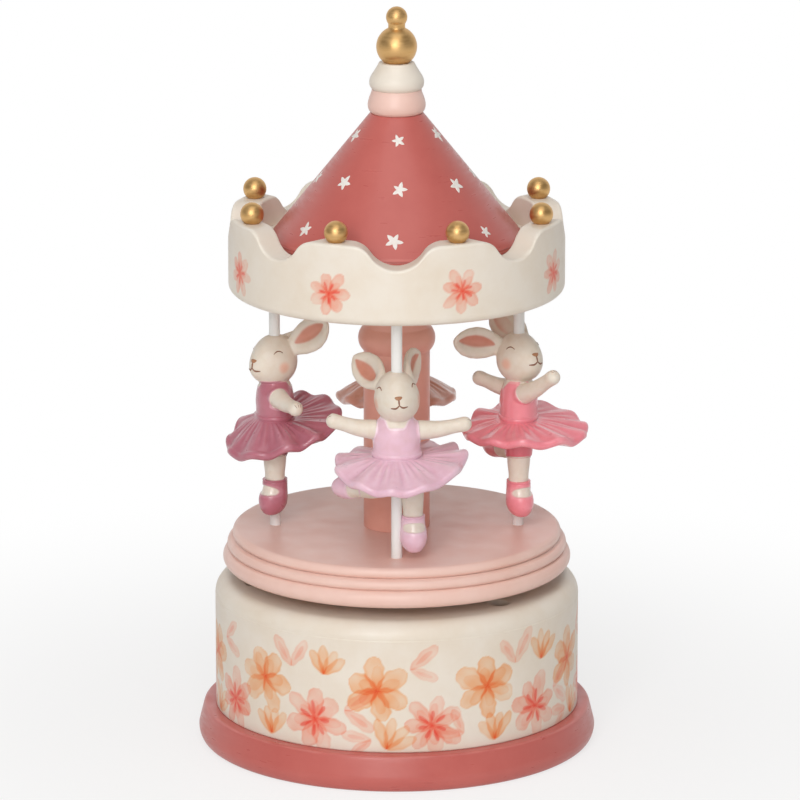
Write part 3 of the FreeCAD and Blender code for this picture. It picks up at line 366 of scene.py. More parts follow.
def turn_x(degrees: float) -> Array:
    """Matrix of a turn about the axis from a figure's right to its left."""
    c, s = math.cos(math.radians(degrees)), math.sin(math.radians(degrees))
    return np.array([[1.0, 0, 0], [0, c, -s], [0, s, c]])


def mesh_of(name: str, surfaces: Sequence[Surface]) -> bpy.types.Mesh:
    """Put surfaces into one smooth-shaded mesh, with their paint and wear as attributes.

    Args:
        name: The mesh's name.
        surfaces: Closed surfaces in millimetres.

    Returns:
        The mesh, in metres.
    """
    offsets = np.cumsum([0] + [len(s.points) for s in surfaces])
    faces: list = []
    for surface, start in zip(surfaces, offsets):
        faces += (surface.quads + start).tolist() + (surface.triangles + start).tolist()
    mesh = bpy.data.meshes.new(name)
    mesh.from_pydata((np.vstack([s.points for s in surfaces]) * MM).tolist(), [], faces)
    mesh.polygons.foreach_set("use_smooth", np.ones(len(faces), bool))
    if any(s.paint is not None for s in surfaces):
        paint = np.vstack([s.paint if s.paint is not None else np.ones((len(s.points), 3)) for s in surfaces])
        layer = mesh.attributes.new("paint", "FLOAT_COLOR", "POINT")
        opaque = np.hstack([paint, np.ones((len(paint), 1))])
        layer.data.foreach_set("color", opaque.astype(np.float32).ravel())
    if any(s.wear is not None for s in surfaces):
        wear = np.concatenate([s.wear if s.wear is not None else np.zeros(len(s.points)) for s in surfaces])
        layer = mesh.attributes.new("wear", "FLOAT", "POINT")
        layer.data.foreach_set("value", wear.astype(np.float32))
    mesh.update()
    return mesh


def make_piece(
    name: str,
    surfaces: Sequence[Surface],
    material: bpy.types.Material,
    body: Body,
    stands_for: Sequence[str] = (),
) -> bpy.types.Object:
    """Make one piece of the music box, let it ride on its body and report it.

    Args:
        name: The piece's name.
        surfaces: Its closed surfaces.
        material: Its finish.
        body: The body that it moves with.
        stands_for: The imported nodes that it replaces.

    Returns:
        The new object.
    """
    piece = bpy.data.objects.new(name, mesh_of(name, surfaces))
    bpy.context.scene.collection.objects.link(piece)
    piece.data.materials.append(material)
    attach(piece, body.value)
    if stands_for:
        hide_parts(*stands_for)
    LOG.info("%s: %d points on %s", name, len(piece.data.vertices), body.value)
    return piece


def melt(surfaces: Sequence[Surface], voxel: float, rounds: int) -> Surface:
    """Melt overlapping surfaces into one skin, as a casting has, and soften its creases.

    Args:
        surfaces: Closed surfaces that overlap.
        voxel: Grid of the new skin in millimetres.
        rounds: How often each point moves half-way to the middle of its neighbours.

    Returns:
        The joined surface.
    """
    raw = bpy.data.objects.new("casting", mesh_of("casting", surfaces))
    bpy.context.scene.collection.objects.link(raw)
    remesh = raw.modifiers.new("melt", "REMESH")
    remesh.mode = "VOXEL"
    remesh.voxel_size = voxel * MM
    soften = raw.modifiers.new("soften", "SMOOTH")
    soften.factor = 0.5
    soften.iterations = rounds
    depsgraph = bpy.context.evaluated_depsgraph_get()
    made = bpy.data.meshes.new_from_object(raw.evaluated_get(depsgraph))
    points = np.empty(len(made.vertices) * 3)
    made.vertices.foreach_get("co", points)
    corners = np.empty(len(made.loops), int)
    made.loops.foreach_get("vertex_index", corners)
    starts = np.empty(len(made.polygons), int)
    made.polygons.foreach_get("loop_start", starts)
    sides = np.diff(np.append(starts, len(corners)))
    quads = corners[starts[sides == 4][:, None] + np.arange(4)]
    triangles = corners[starts[sides == 3][:, None] + np.arange(3)]
    first = raw.data
    bpy.data.objects.remove(raw)
    bpy.data.meshes.remove(first)
    bpy.data.meshes.remove(made)
    return Surface(points.reshape(-1, 3) / MM, quads, triangles)


class Bench:
    """One material being mixed: its node tree, its shader and its object coordinates."""

    def __init__(self, name: str) -> None:
        """Begin a material with a bare shader.

        Args:
            name: The real material's name.
        """
        self.material = bpy.data.materials.new(name)
        self.material.use_nodes = True
        self.tree = self.material.node_tree
        self.tree.nodes.clear()
        self.shader = add_node(self.tree, "ShaderNodeBsdfPrincipled")
        add_node(self.tree, "ShaderNodeOutputMaterial", {"Surface": self.shader.outputs[0]})
        self.place = add_node(self.tree, "ShaderNodeTexCoord").outputs["Object"]

    def feed(self, socket: str, value: Feed) -> None:
        """Give one of the shader's sockets a link or a value of its own."""
        if isinstance(value, bpy.types.NodeSocket):
            self.tree.links.new(value, self.shader.inputs[socket])
        else:
            self.shader.inputs[socket].default_value = value

    def attribute(self, name: str, output: str) -> bpy.types.NodeSocket:
        """Read one of the mesh's own attributes."""
        return add_node(self.tree, "ShaderNodeAttribute", attribute_name=name).outputs[output]

    def mottle(self, size: float, detail: float, roughness: float = 0.5) -> bpy.types.NodeSocket:
        """Make noise whose features are about `size` millimetres."""
        return add_node(self.tree, "ShaderNodeTexNoise", {
            "Vector": self.place, "Scale": per_mm(size), "Detail": detail, "Roughness": roughness,
        }).outputs[0]

    def streaks(self, sizes: Sequence[float], detail: float) -> bpy.types.NodeSocket:
        """Make noise that is drawn out to its own size in millimetres along each axis."""
        lay = add_node(self.tree, "ShaderNodeMapping", {
            "Vector": self.place, "Scale": tuple(per_mm(size) for size in sizes),
        })
        return add_node(self.tree, "ShaderNodeTexNoise", {
            "Vector": lay.outputs[0], "Scale": 1.0, "Detail": detail,
        }).outputs[0]

    def times(self, first: Feed, second: Feed) -> bpy.types.NodeSocket:
        """Multiply two values."""
        return add_node(self.tree, "ShaderNodeMath", {0: first, 1: second}, operation="MULTIPLY").outputs[0]

    def remap(self, value: Feed, low: float, high: float, goal: tuple[float, float]) -> bpy.types.NodeSocket:
        """Map a value's range from low to high onto a goal's range, and hold it there."""
        return add_node(self.tree, "ShaderNodeMapRange", {
            "Value": value, "From Min": low, "From Max": high, "To Min": goal[0], "To Max": goal[1],
        }).outputs[0]

    def blend(self, share: Feed, first: Feed, second: Feed, mode: str = "MIX") -> bpy.types.NodeSocket:
        """Lay a second colour over the first by a share."""
        return add_node(self.tree, "ShaderNodeMix", {0: share, 6: first, 7: second},
                        data_type="RGBA", blend_type=mode).outputs[2]

    def relief(self, height: Feed, strength: float, depth: float) -> None:
        """Raise the surface by a noise of a depth in millimetres."""
        bump = add_node(self.tree, "ShaderNodeBump", {
            "Height": height, "Strength": strength, "Distance": depth * MM,
        })
        self.feed("Normal", bump.outputs[0])


@dataclass(frozen=True)
class Finish:
    """What every finish has: a name for the real material, a colour and a gloss."""

    name: str
    colour: str
    roughness: float = 0.4

    def gloss(self, bench: Bench, value: Feed, less: float, more: float) -> None:
        """Let the gloss follow a noise, from a little smoother to a little rougher."""
        bench.feed("Roughness", bench.remap(value, 0.3, 0.7, (self.roughness - less, self.roughness + more)))


@dataclass(frozen=True)
class SatinPaint(Finish):
    """Satin lacquer brushed on turned beech while it spins on the lathe.

    The eye gets faint rings of the brush, a slow drift of tone where the coat is thinner, and paler edges
    where sanding has thinned it to the primer.
    """

    thin: str = "#ffffff"
    edge: str = "#ffffff"
    from_attribute: bool = False
    ring_mm: float = 0.7
    ring_stretch: float = 9.0
    drift_mm: float = 14.0
    ring_depth_mm: float = 0.012

    def build(self) -> bpy.types.Material:
        """Return the painted wood's material."""
        bench = Bench(self.name)
        long = self.ring_mm * self.ring_stretch
        brush = bench.streaks((long, long, self.ring_mm), 3.0)
        drift = bench.mottle(self.drift_mm, 4.0, 0.6)
        coat = bench.attribute("paint", "Color") if self.from_attribute else linear(self.colour)
        thinness = bench.remap(drift, 0.38, 0.72, (0.0, 0.55))
        tone = bench.blend(thinness, coat, linear(self.thin), "MULTIPLY")
        rubbed = bench.times(bench.attribute("wear", "Fac"), brush)
        rub = bench.remap(rubbed, 0.3, 0.75, (0.0, 0.5))
        bench.feed("Base Color", bench.blend(rub, tone, linear(self.edge)))
        self.gloss(bench, brush, 0.06, 0.08)
        bench.relief(brush, 0.6, self.ring_depth_mm)
        return bench.material


@dataclass(frozen=True)
class GoldPaint(Finish):
    """Bronze-powder gold paint brushed on a wooden ball.

    The eye gets metal that is broken into fine streaks, brighter where the powder lies flat and browner where
    the varnish pools.
    """

    pool: str = "#b98a4c"
    streak_mm: float = 0.7
    streak_stretch: float = 5.0
    streak_depth_mm: float = 0.03

    def build(self) -> bpy.types.Material:
        """Return the gold paint's material."""
        bench = Bench(self.name)
        bench.feed("Metallic", 1.0)
        long = self.streak_mm * self.streak_stretch
        streak = bench.streaks((long, long, self.streak_mm), 5.0)
        pools = bench.remap(streak, 0.35, 0.6, (0.35, 0.0))
        bench.feed("Base Color", bench.blend(pools, linear(self.colour), linear(self.pool)))
        self.gloss(bench, streak, 0.08, 0.1)
        bench.relief(streak, 0.5, self.streak_depth_mm)
        return bench.material


@dataclass(frozen=True)
class ResinPaint(Finish):
    """Acrylic paint on a cast polyester resin figure, its colours laid by hand.

    The eye gets a soft gloss, the mould's slight unevenness and a little more colour where the paint settles.
    """

    settle_mm: float = 2.2
    uneven_mm: float = 0.9
    uneven_depth_mm: float = 0.02
    varnish: float = 0.0
    varnish_on_cloth: bool = False

    def build(self) -> bpy.types.Material:
        """Return the painted resin's material."""
        bench = Bench(self.name)
        bench.feed("Coat Weight", self.varnish)
        if self.varnish_on_cloth:
            bench.feed("Coat Weight", bench.times(bench.attribute("wear", "Fac"), self.varnish))
        bench.feed("Coat Roughness", 0.12)
        bench.feed("Subsurface Weight", 0.08)
        bench.feed("Subsurface Radius", (1.0 * MM, 0.6 * MM, 0.4 * MM))
        bench.feed("Subsurface Scale", 0.5)
        settle = bench.mottle(self.settle_mm, 3.0)
        depth = bench.remap(settle, 0.42, 0.75, (0.0, 0.4))
        paint = bench.attribute("paint", "Color")
        bench.feed("Base Color", bench.blend(depth, paint, linear(self.colour), "MULTIPLY"))
        self.gloss(bench, settle, 0.07, 0.07)
        bench.relief(bench.mottle(self.uneven_mm, 2.0), 0.5, self.uneven_depth_mm)
        return bench.material


@dataclass(frozen=True)
class CutMetal(Finish):
    """Stamped or turned metal from a clockwork maker.

    The eye gets fine tool lines along one direction and duller patches where oil has dried.
    """

    dull: str = "#6b5a3a"
    line_mm: float = 0.25
    line_stretch: float = 12.0
    line_depth_mm: float = 0.01
    patch_mm: float = 4.0

    def build(self) -> bpy.types.Material:
        """Return the metal's material."""
        bench = Bench(self.name)
        bench.feed("Metallic", 1.0)
        lines = bench.streaks((self.line_mm * self.line_stretch, self.line_mm, self.line_mm), 2.0)
        oil = bench.remap(bench.mottle(self.patch_mm, 3.0), 0.45, 0.8, (0.0, 0.6))
        bench.feed("Base Color", bench.blend(oil, linear(self.colour), linear(self.dull)))
        self.gloss(bench, lines, 0.08, 0.12)
        bench.relief(lines, 0.4, self.line_depth_mm)
        return bench.material


@dataclass(frozen=True)
class BareBeech(Finish):
    """Unpainted turned beech dowel: pale brown with short darker flecks along the grain."""

    fleck: str = "#a97c50"
    fleck_mm: float = 0.4
    fleck_stretch: float = 8.0
    fleck_depth_mm: float = 0.03

    def build(self) -> bpy.types.Material:
        """Return the bare wood's material."""
        bench = Bench(self.name)
        bench.feed("Roughness", self.roughness)
        grain = bench.streaks((self.fleck_mm, self.fleck_mm, self.fleck_mm * self.fleck_stretch), 4.0)
        flecks = bench.remap(grain, 0.5, 0.7, (0.0, 0.8))
        bench.feed("Base Color", bench.blend(flecks, linear(self.colour), linear(self.fleck)))
        bench.relief(grain, 0.4, self.fleck_depth_mm)
        return bench.material


@dataclass(frozen=True)
class MouldedAcetal(Finish):
    """Moulded acetal: a waxy even plastic with the mould's fine spark texture."""

    shade: str = "#d8d4c8"
    spark_mm: float = 0.15
    refraction: float = 1.48

    def build(self) -> bpy.types.Material:
        """Return the plastic's material."""
        bench = Bench(self.name)
        bench.feed("IOR", self.refraction)
        spark = bench.mottle(self.spark_mm, 1.0)
        bench.feed("Base Color", bench.blend(spark, linear(self.colour), linear(self.shade), "MULTIPLY"))
        bench.feed("Roughness", bench.remap(spark, 0.0, 1.0, (self.roughness - 0.05, self.roughness + 0.1)))
        return bench.material


CREAM = "#eae0d2"
CREAM_PAINT = SatinPaint("cream_lacquer_on_turned_beech", CREAM, 0.42, thin="#f4ebdf", edge="#f6efe4")
ROSE_PAINT = SatinPaint("rose_lacquer_on_turned_beech", "#c4665e", 0.33, thin="#f2e0de", edge="#d98d84")
PINK_PAINT = SatinPaint("pale_pink_lacquer_on_turned_beech", "#eec9bc", 0.38, thin="#f8ede8", edge="#f5d6c9")
SALMON_PAINT = SatinPaint("salmon_lacquer_on_turned_beech", "#efb19f", 0.42, thin="#f0ddd6", edge="#e6b2a3")
WHITE_PAINT = SatinPaint("white_lacquer_on_birch_dowel", "#f2f1ee", 0.34, thin="#f3f1ee", edge="#f8f7f5")
BLOSSOM_PAINT = replace(CREAM_PAINT, name="watercolour_blossoms_on_cream_lacquer", from_attribute=True)
# The wells' bare drilled wood is darkened to a dark brown as painted shade.
WELL_PAINT = replace(CREAM_PAINT, name="cream_lacquer_with_painted_shade_in_wells", from_attribute=True)
STAR_PAINT = SatinPaint("white_star_paint_on_rose_lacquer", "#f1ece6", 0.5, thin="#f3ece6", edge="#ffffff",
                        ring_mm=0.4, drift_mm=1.6)
GOLD_PAINT = GoldPaint("bronze_powder_gold_on_beech_ball", "#d9b178", 0.42)
SKIN_PAINT = ResinPaint("ivory_acrylic_on_cast_resin", "#f0e6da", 0.45, varnish=0.8, varnish_on_cloth=True)
DRESS_PAINT = ResinPaint("gloss_acrylic_on_cast_resin", "#efdcde", 0.34, varnish=0.45)
LINE_PAINT = ResinPaint("brush_line_acrylic_on_cast_resin", "#d8c4b4", 0.45)


class Pigment(Enum):
    """Watercolours as the share of light that one full layer lets through, in linear RGB."""

    PEACH = (0.99, 0.63, 0.42)
    PINK = (1.0, 0.60, 0.53)
    RED = (0.97, 0.40, 0.36)
    LEAF = (1.0, 0.68, 0.61)


@dataclass(frozen=True)
class Touch:
    """One touch of the brush that swells from its root and rounds off at its tip."""

    u: float
    v: float
    angle: float
    length: float
    width: float
    strength: float
    pigment: Pigment
    root: float = 0.5

    def lay(self, u: Array, v: Array, light: Array, girth: float) -> None:
        """Filter the light at each point by this touch.

        Along the touch t runs from 0 to 1 and across it s from -1 to 1 at the half width 2 sqrt(t (1 - t))
        (0.7 + 0.4 t), which slow sines make uneven. The coat pools in blotches and is heavier at its rim
        and at its root, where water carries it.

        Args:
            u: Way round the piece, in millimetres.
            v: Height of each point.
            light: Linear RGB of each point, filtered in place.
            girth: Length once round the piece.
        """
        du = (u - self.u + girth / 2) % girth - girth / 2
        dv = v - self.v
        near = np.flatnonzero((np.abs(du) < self.length * 1.1) & (np.abs(dv) < self.length * 1.1))
        c, s = math.cos(self.angle), math.sin(self.angle)
        along = (du[near] * c + dv[near] * s) / self.length
        across = np.abs(dv[near] * c - du[near] * s)
        t = np.clip(along, 0.0, 1.0)
        wander = np.sin(1.9 * u[near] + 5.0 * self.angle) + np.sin(2.3 * v[near] + 3.0 * self.angle)
        wobble = 1 + 0.06 * wander
        half = self.width / 2 * 2 * np.sqrt(t * (1 - t)) * (0.7 + 0.4 * t) * wobble
        inside = half - across
        cover = smoothstep(-0.15, 0.3, inside) * ((along > 0) & (along < 1))
        rim = np.exp(-((inside - 0.3) / 0.35) ** 2)
        pool = 0.5 + 0.5 * np.sin(0.8 * u[near] + 7.0 * self.angle) * np.sin(0.9 * v[near] + 4.0 * self.angle)
        coat = self.strength * cover * (0.42 + 0.4 * pool + 0.32 * rim + self.root * (1 - t) ** 2)
        light[near] *= np.asarray(self.pigment.value) ** coat[:, None]


@dataclass
class Meadow:
    """A wreath of watercolour blossoms round a drum, each laid out by a seeded draw."""

    girth: float
    touches: list[Touch] = field(default_factory=list)

    def blossom(self, draw: np.random.Generator, u: float, v: float, radius: float, petals: int,
                pigment: Pigment, stamens: bool) -> None:
        """Add an open blossom.

        Args:
            draw: Source of the small differences.
            u: Way round the piece.
            v: Height.
            radius: Length of a petal.
            petals: How many petals.
            pigment: Their colour.
            stamens: Whether red strokes mark the middle.
        """
        first = draw.uniform(0, 2 * np.pi)
        for k in range(petals):
            angle = first + 2 * np.pi * k / petals + draw.uniform(-0.12, 0.12)
            length = radius * draw.uniform(0.86, 1.08)
            width = radius * draw.uniform(0.62, 0.8) * 5.5 / petals
            strength = draw.uniform(0.6, 1.2)
            self.touches.append(Touch(u, v, angle, length, width, strength, pigment, 0.5))
            inner = length * draw.uniform(0.55, 0.85)
            turn = angle + draw.uniform(-0.2, 0.2)
            self.touches.append(Touch(u, v, turn, inner, width * 0.6, draw.uniform(0.2, 0.6), pigment, 0.3))
            if stamens:
                start = radius * 0.14
                self.touches.append(Touch(
                    u + start * math.cos(angle + 0.2), v + start * math.sin(angle + 0.2), angle + 0.2,
                    radius * draw.uniform(0.3, 0.42), radius * 0.15, 1.0, Pigment.RED, 0.3,
                ))

    def bud(self, draw: np.random.Generator, u: float, v: float, radius: float, lean: float) -> None:
        """Add a half-open blossom seen from the side: petals fanned about one direction.

        Args:
            draw: Source of the small differences.
            u: Way round the piece.
            v: Height.
            radius: Length of a petal.
            lean: Direction of the fan.
        """
        for offset in (-0.75, -0.3, 0.2, 0.7):
            angle = lean + offset + draw.uniform(-0.08, 0.08)
            length = radius * draw.uniform(0.9, 1.1)
            strength = draw.uniform(0.6, 1.0)
            self.touches.append(Touch(u, v, angle, length, radius * 0.42, strength, Pigment.PEACH, 0.9))

    def sprig(
        self, draw: np.random.Generator, u: float, v: float, length: float, angles: Sequence[float],
    ) -> None:
        """Add leaves that spread from one point.

        Args:
            draw: Source of the small differences.
            u: Way round the piece.
            v: Height.
            length: Length of a leaf.
            angles: Direction of each leaf.
        """
        for angle in angles:
            size = length * draw.uniform(0.85, 1.15)
            strength = draw.uniform(0.65, 1.0)
            self.touches.append(Touch(u, v, angle, size, size * 0.42, strength, Pigment.LEAF, 0.3))
            self.touches.append(Touch(
                u + size * 0.2 * math.cos(angle), v + size * 0.2 * math.sin(angle), angle,
                size * 0.6, size * 0.17, 0.5, Pigment.PINK, 0.2,
            ))

    def paint(self, u: Array, v: Array, ground: str) -> Array:
        """Lay every touch on a ground colour.

        Args:
            u: Way round the piece at each point.
            v: Height of each point.
            ground: The coat underneath.

        Returns:
            Linear RGB of each point.
        """
        light = np.tile(rgb(ground), (len(u), 1))
        for touch in self.touches:
            touch.lay(u, v, light, self.girth)
        return light


@dataclass
class Case:
    """The case that stands still: plinth, drum with its painted wreath, and the wells for the sunk screws."""

    plinth_r: float = 55.0
    plinth_wide_z: float = 3.6
    plinth_foot_r: float = 53.0
    plinth_top_r: float = 53.4
    plinth_h: float = 10.0
    spigot_r: float = 44.15
    spigot_h: float = 3.0
    drum_r: float = 50.2
    drum_top_z: float = 46.0
    drum_bore_r: float = 44.2
    ceiling_z: float = 38.5
    shoulder: float = 4.5
    bush_r: float = 5.05
    screw_circle_r: float = 40.0
    screw_first_deg: float = -46.0
    screw_count: int = 3
    # Dark brown of the screws' wells: bare drilled wood, darkened as painted shade in the recess.
    well_shade_on_bare_wood: str = "#4a3527"
    sink_r: float = 2.95
    sink_depth: float = 4.0
    band_low: float = 10.12
    band_high: float = 41.4
    band_rise: float = 0.03
    stretches: int = 5
    sprigs: tuple[tuple[float, float, float, tuple[float, float]], ...] = (
        (17.5, 32.0, 9.5, (2.2, 1.0)), (33.5, 21.5, 9.0, (0.6, -0.6)), (51.5, 33.5, 9.0, (-0.4, 0.7)),
        (1.0, 14.5, 8.5, (2.0, 3.0)), (41.0, 13.5, 8.0, (3.0, -2.5)),
    )
    blossoms: tuple[tuple[float, float, float, int, Pigment], ...] = (
        (8.0, 27.0, 9.8, 6, Pigment.PEACH), (25.0, 18.0, 9.6, 7, Pigment.PINK),
        (42.5, 27.5, 9.2, 6, Pigment.PEACH), (57.5, 17.5, 8.8, 7, Pigment.PINK),
    )
    buds: tuple[tuple[float, float, float, float], ...] = (
        (10.5, 11.5, 8.2, 1.6), (27.5, 31.0, 8.0, 1.4), (45.0, 11.0, 8.4, 1.2),
    )

    def plinth(self) -> None:
        """Turn the foot disc: round under-edge, sloping side, softened top edge."""
        a = np.linspace(0.0, np.pi / 2, 12)
        under = np.stack([
            self.plinth_foot_r + (self.plinth_r - self.plinth_foot_r) * np.sin(a),
            self.plinth_wide_z * (1 - np.cos(a)),
        ], axis=1)
        upper, wear = outline([
            (self.plinth_r, self.plinth_wide_z, 0.0),
            (self.plinth_top_r, self.plinth_h, 0.9),
            (self.spigot_r, self.plinth_h, 0.0),
            (self.spigot_r, self.plinth_h + self.spigot_h, 0.2),
            (NEAR_AXIS, self.plinth_h + self.spigot_h, 0.0),
        ], False)
        foot, foot_wear = outline([(NEAR_AXIS, 0.0, 0.0), (self.plinth_foot_r, 0.0, 0.0)], False)
        profile = np.vstack([foot, under[1:], upper[1:]])
        wears = np.concatenate([foot_wear, np.zeros(len(under) - 1), wear[1:]])
        make_piece("plinth_turned", [lathe(profile, wears, False, 256)], ROSE_PAINT.build(),
                   Body.BASE, ["plinth"])

    def drum_lines(self) -> tuple[Array, Array]:
        """Return the drum's angles and its top's radii, both dense round the screws' wells.

        Returns:
            Angles in radians, and radii from the outside in.
        """
        near = self.sink_r * np.array([1.6, 1.3, 1.1, 1.0, 0.97, 0.7, 0.35])
        near = np.concatenate([-near, [0.0], near[::-1]])
        pitch = 2 * np.pi / self.screw_count
        reach = near[-1] / self.screw_circle_r
        plain = np.linspace(reach, pitch - reach, 76)[1:-1]
        sector = np.concatenate([near / self.screw_circle_r, plain])
        first = math.radians(self.screw_first_deg)
        angles = np.concatenate([first + k * pitch + sector for k in range(self.screw_count)])
        rim = self.drum_r - self.shoulder
        radii = np.concatenate([
            [rim - 0.3], self.screw_circle_r - near, np.linspace(34.0, self.bush_r + 1.0, 12),
        ])
        return angles, radii

    def drum(self) -> None:
        """Turn the drum and press its wells.

        The outline is carried round the axis. On the top, a point at (along, out) from a screw's centre whose
        larger coordinate is q moves onto the circle of radius q, so that a square of grid lines becomes the
        well's round wall, and everything inside it sinks.
        """
        angles, radii = self.drum_lines()
        rim = self.drum_r - self.shoulder
        wall, wear = outline([
            (self.bush_r, self.ceiling_z, 0.0),
            (self.drum_bore_r, self.ceiling_z, 0.0),
            (self.drum_bore_r, self.plinth_h, 0.0),
            (self.drum_r, self.plinth_h, 0.25),
            (self.drum_r, self.drum_top_z - self.shoulder, 0.0),
        ], False, 3.0)
        a = np.linspace(0.0, np.pi / 2, 14)[1:]
        bend_z = self.drum_top_z + self.shoulder * (np.sin(a) - 1)
        bend = np.stack([rim + self.shoulder * np.cos(a), bend_z], axis=1)
        top = np.stack([radii, np.full(len(radii), self.drum_top_z)], axis=1)
        mouth = np.array([[self.bush_r, self.drum_top_z]])
        profile = np.vstack([wall, bend, top, mouth])
        r = np.repeat(profile[:, :1], len(angles), axis=1)
        z = np.repeat(profile[:, 1:], len(angles), axis=1)
        a = np.broadcast_to(angles, r.shape).copy()
        pitch = 2 * np.pi / self.screw_count
        first = math.radians(self.screw_first_deg)
        aside = (a - first + pitch / 2) % pitch - pitch / 2
        along = aside * self.screw_circle_r
        out = r - self.screw_circle_r
        q = np.maximum(np.abs(along), np.abs(out))
        flat = np.isclose(z, self.drum_top_z)
        reach = self.sink_r * 1.6
        pull = np.where(flat, np.clip((reach - q) / (reach - self.sink_r), 0.0, 1.0), 0.0)
        stretch = 1 + pull * (q / np.maximum(np.hypot(along, out), 1e-6) - 1)
        r = self.screw_circle_r + out * stretch
        a = a + (along * stretch - along) / self.screw_circle_r
        z = np.where(flat & (q < self.sink_r * 0.985), z - self.sink_depth, z)
        rings = np.stack([r * np.cos(a), r * np.sin(a), z], axis=-1)
        wears = np.concatenate([wear, np.zeros(len(profile) - len(wear))])
        # The wells' floor and wall take the dark brown: bare drilled wood with painted shade in the recess.
        bare = (flat & (q < self.sink_r * 0.995))[..., None]
        paint = np.where(bare, rgb(self.well_shade_on_bare_wood), rgb(CREAM))
        make_piece("drum_turned", [hoop(rings, wears, paint)], WELL_PAINT.build(),
                   Body.BASE, ["drum"])

    def wreath(self) -> Meadow:
        """Lay out the drum's blossoms: like stretches round it, each with its own draw."""
        draw = np.random.default_rng(21)
        girth = 2 * np.pi * self.drum_r
        meadow = Meadow(girth)
        stretch = girth / self.stretches
        for k in range(self.stretches):
            u = stretch * k + draw.uniform(-2.0, 2.0)
            for along, v, length, angles in self.sprigs:
                meadow.sprig(draw, u + along, v, length, angles)
            for along, v, radius, petals, pigment in self.blossoms:
                meadow.blossom(draw, u + along, v, radius, petals, pigment, pigment is Pigment.PINK)
            for along, v, radius, lean in self.buds:
                meadow.bud(draw, u + along, v, radius, lean)
        return meadow

    def band(self) -> None:
        """Lay the painted coat on the drum: a thin closed hoop, its colours worked out at each point."""
        rows, cols = 92, 1020
        girth = 2 * np.pi * self.drum_r
        a = np.arange(cols) * 2 * np.pi / cols
        z = np.linspace(self.band_low, self.band_high, rows)
        outer = self.drum_r + self.band_rise
        inner = self.drum_r - self.band_rise
        radius = np.concatenate([[inner], np.full(rows, outer), [inner]])
        heights = np.concatenate([[z[0] - 0.02], z, [z[-1] + 0.02]])
        rings = np.stack([
            radius[:, None] * np.cos(a), radius[:, None] * np.sin(a),
            np.broadcast_to(heights[:, None], (rows + 2, cols)),
        ], axis=-1)
        u = np.broadcast_to(a * self.drum_r % girth, (rows + 2, cols))
        v = np.broadcast_to(heights[:, None], (rows + 2, cols))
        colours = self.wreath().paint(u.ravel(), v.ravel(), CREAM)
        made = hoop(rings, None, colours.reshape(rows + 2, cols, 3))
        make_piece("drum_wreath", [made], BLOSSOM_PAINT.build(), Body.BASE)

    def build(self) -> None:
        """Build and dress the case."""
        self.plinth()
        self.drum()
        self.band()


@dataclass
class Turntable:
    """The turning platform, the column on it and the four poles."""

    low_z: float = 49.6
    beads: tuple[tuple[float, float], ...] = ((48.0, 4.6), (46.8, 2.9), (45.3, 3.1))
    bulge: float = 1.6
    column_r: float = 9.1
    column_z: float = PLATFORM_Z
    spigot_r: float = 5.0
    spigot_h: float = 3.0
    capital_r: float = 10.6
    capital_z: float = 110.0
    capital_h: float = 6.8
    board_z: float = 130.0
    pole_r: float = 1.5
    pole_circle_r: float = POLE_CIRCLE_R
    pole_low_z: float = 57.2
    pole_high_z: float = 135.0

    def platform(self) -> None:
        """Turn the platform: three half-round beads, each an arc that bulges from one groove to the next."""
        z = self.low_z
        parts: list[Array] = [outline([(NEAR_AXIS, z, 0.0), (self.beads[0][0] - self.bulge, z, 0.0)], False)[0]]
        for radius, height in self.beads:
            parts.append(bead_arc(radius, self.bulge, z, height, 15))
            z += height
        parts.append(outline([(self.beads[-1][0] - self.bulge - 0.3, z, 0.0), (NEAR_AXIS, z, 0.0)], False)[0])
        profile = np.vstack(parts)
        turned = lathe(profile, np.zeros(len(profile)), False, 256)
        make_piece("platform_turned", [turned], PINK_PAINT.build(),
                   Body.CAROUSEL, ["platform"])

    def column(self) -> None:
        """Turn the column with its capital bead, an arc over the capital's height."""
        bead = bead_arc(self.capital_r, self.capital_r - self.column_r, self.capital_z, self.capital_h, 16)
        low = outline([
            (NEAR_AXIS, self.column_z - self.spigot_h, 0.0),
            (self.spigot_r, self.column_z - self.spigot_h, 0.0),
            (self.spigot_r, self.column_z, 0.0),
            (self.column_r, self.column_z, 0.2),
            (self.column_r, self.capital_z - 0.2, 0.0),
        ], False)
        high = outline([
            (self.column_r, self.capital_z + self.capital_h + 0.2, 0.0),
            (self.column_r, self.board_z, 0.2),
            (self.spigot_r, self.board_z, 0.0),
            (self.spigot_r, self.board_z + self.spigot_h, 0.0),
            (NEAR_AXIS, self.board_z + self.spigot_h, 0.0),
        ], False)
        profile = np.vstack([low[0], bead, high[0]])
        wear = np.concatenate([low[1], np.zeros(len(bead)), high[1]])
        make_piece("column_turned", [lathe(profile, wear, False, 128)], SALMON_PAINT.build(),
                   Body.CAROUSEL, ["center_column"])

    def poles(self) -> None:
        """Turn the four poles."""
        material = WHITE_PAINT.build()
        profile, wear = outline([
            (0.2, self.pole_low_z, 0.0),
            (self.pole_r, self.pole_low_z, 0.15),
            (self.pole_r, self.pole_high_z, 0.15),
            (0.2, self.pole_high_z, 0.0),
        ], False, 3.0)
        for name, degrees in (("front", -90.0), ("right", 0.0), ("back", 90.0), ("left", 180.0)):
            a = math.radians(degrees)
            at = (self.pole_circle_r * math.cos(a), self.pole_circle_r * math.sin(a))
            make_piece("pole_" + name + "_turned", [lathe(profile, wear, False, 40, at)], material,
                       Body.CAROUSEL, ["pole_" + name])

    def build(self) -> None:
        """Build and dress the turntable."""
        self.platform()
        self.column()
        self.poles()


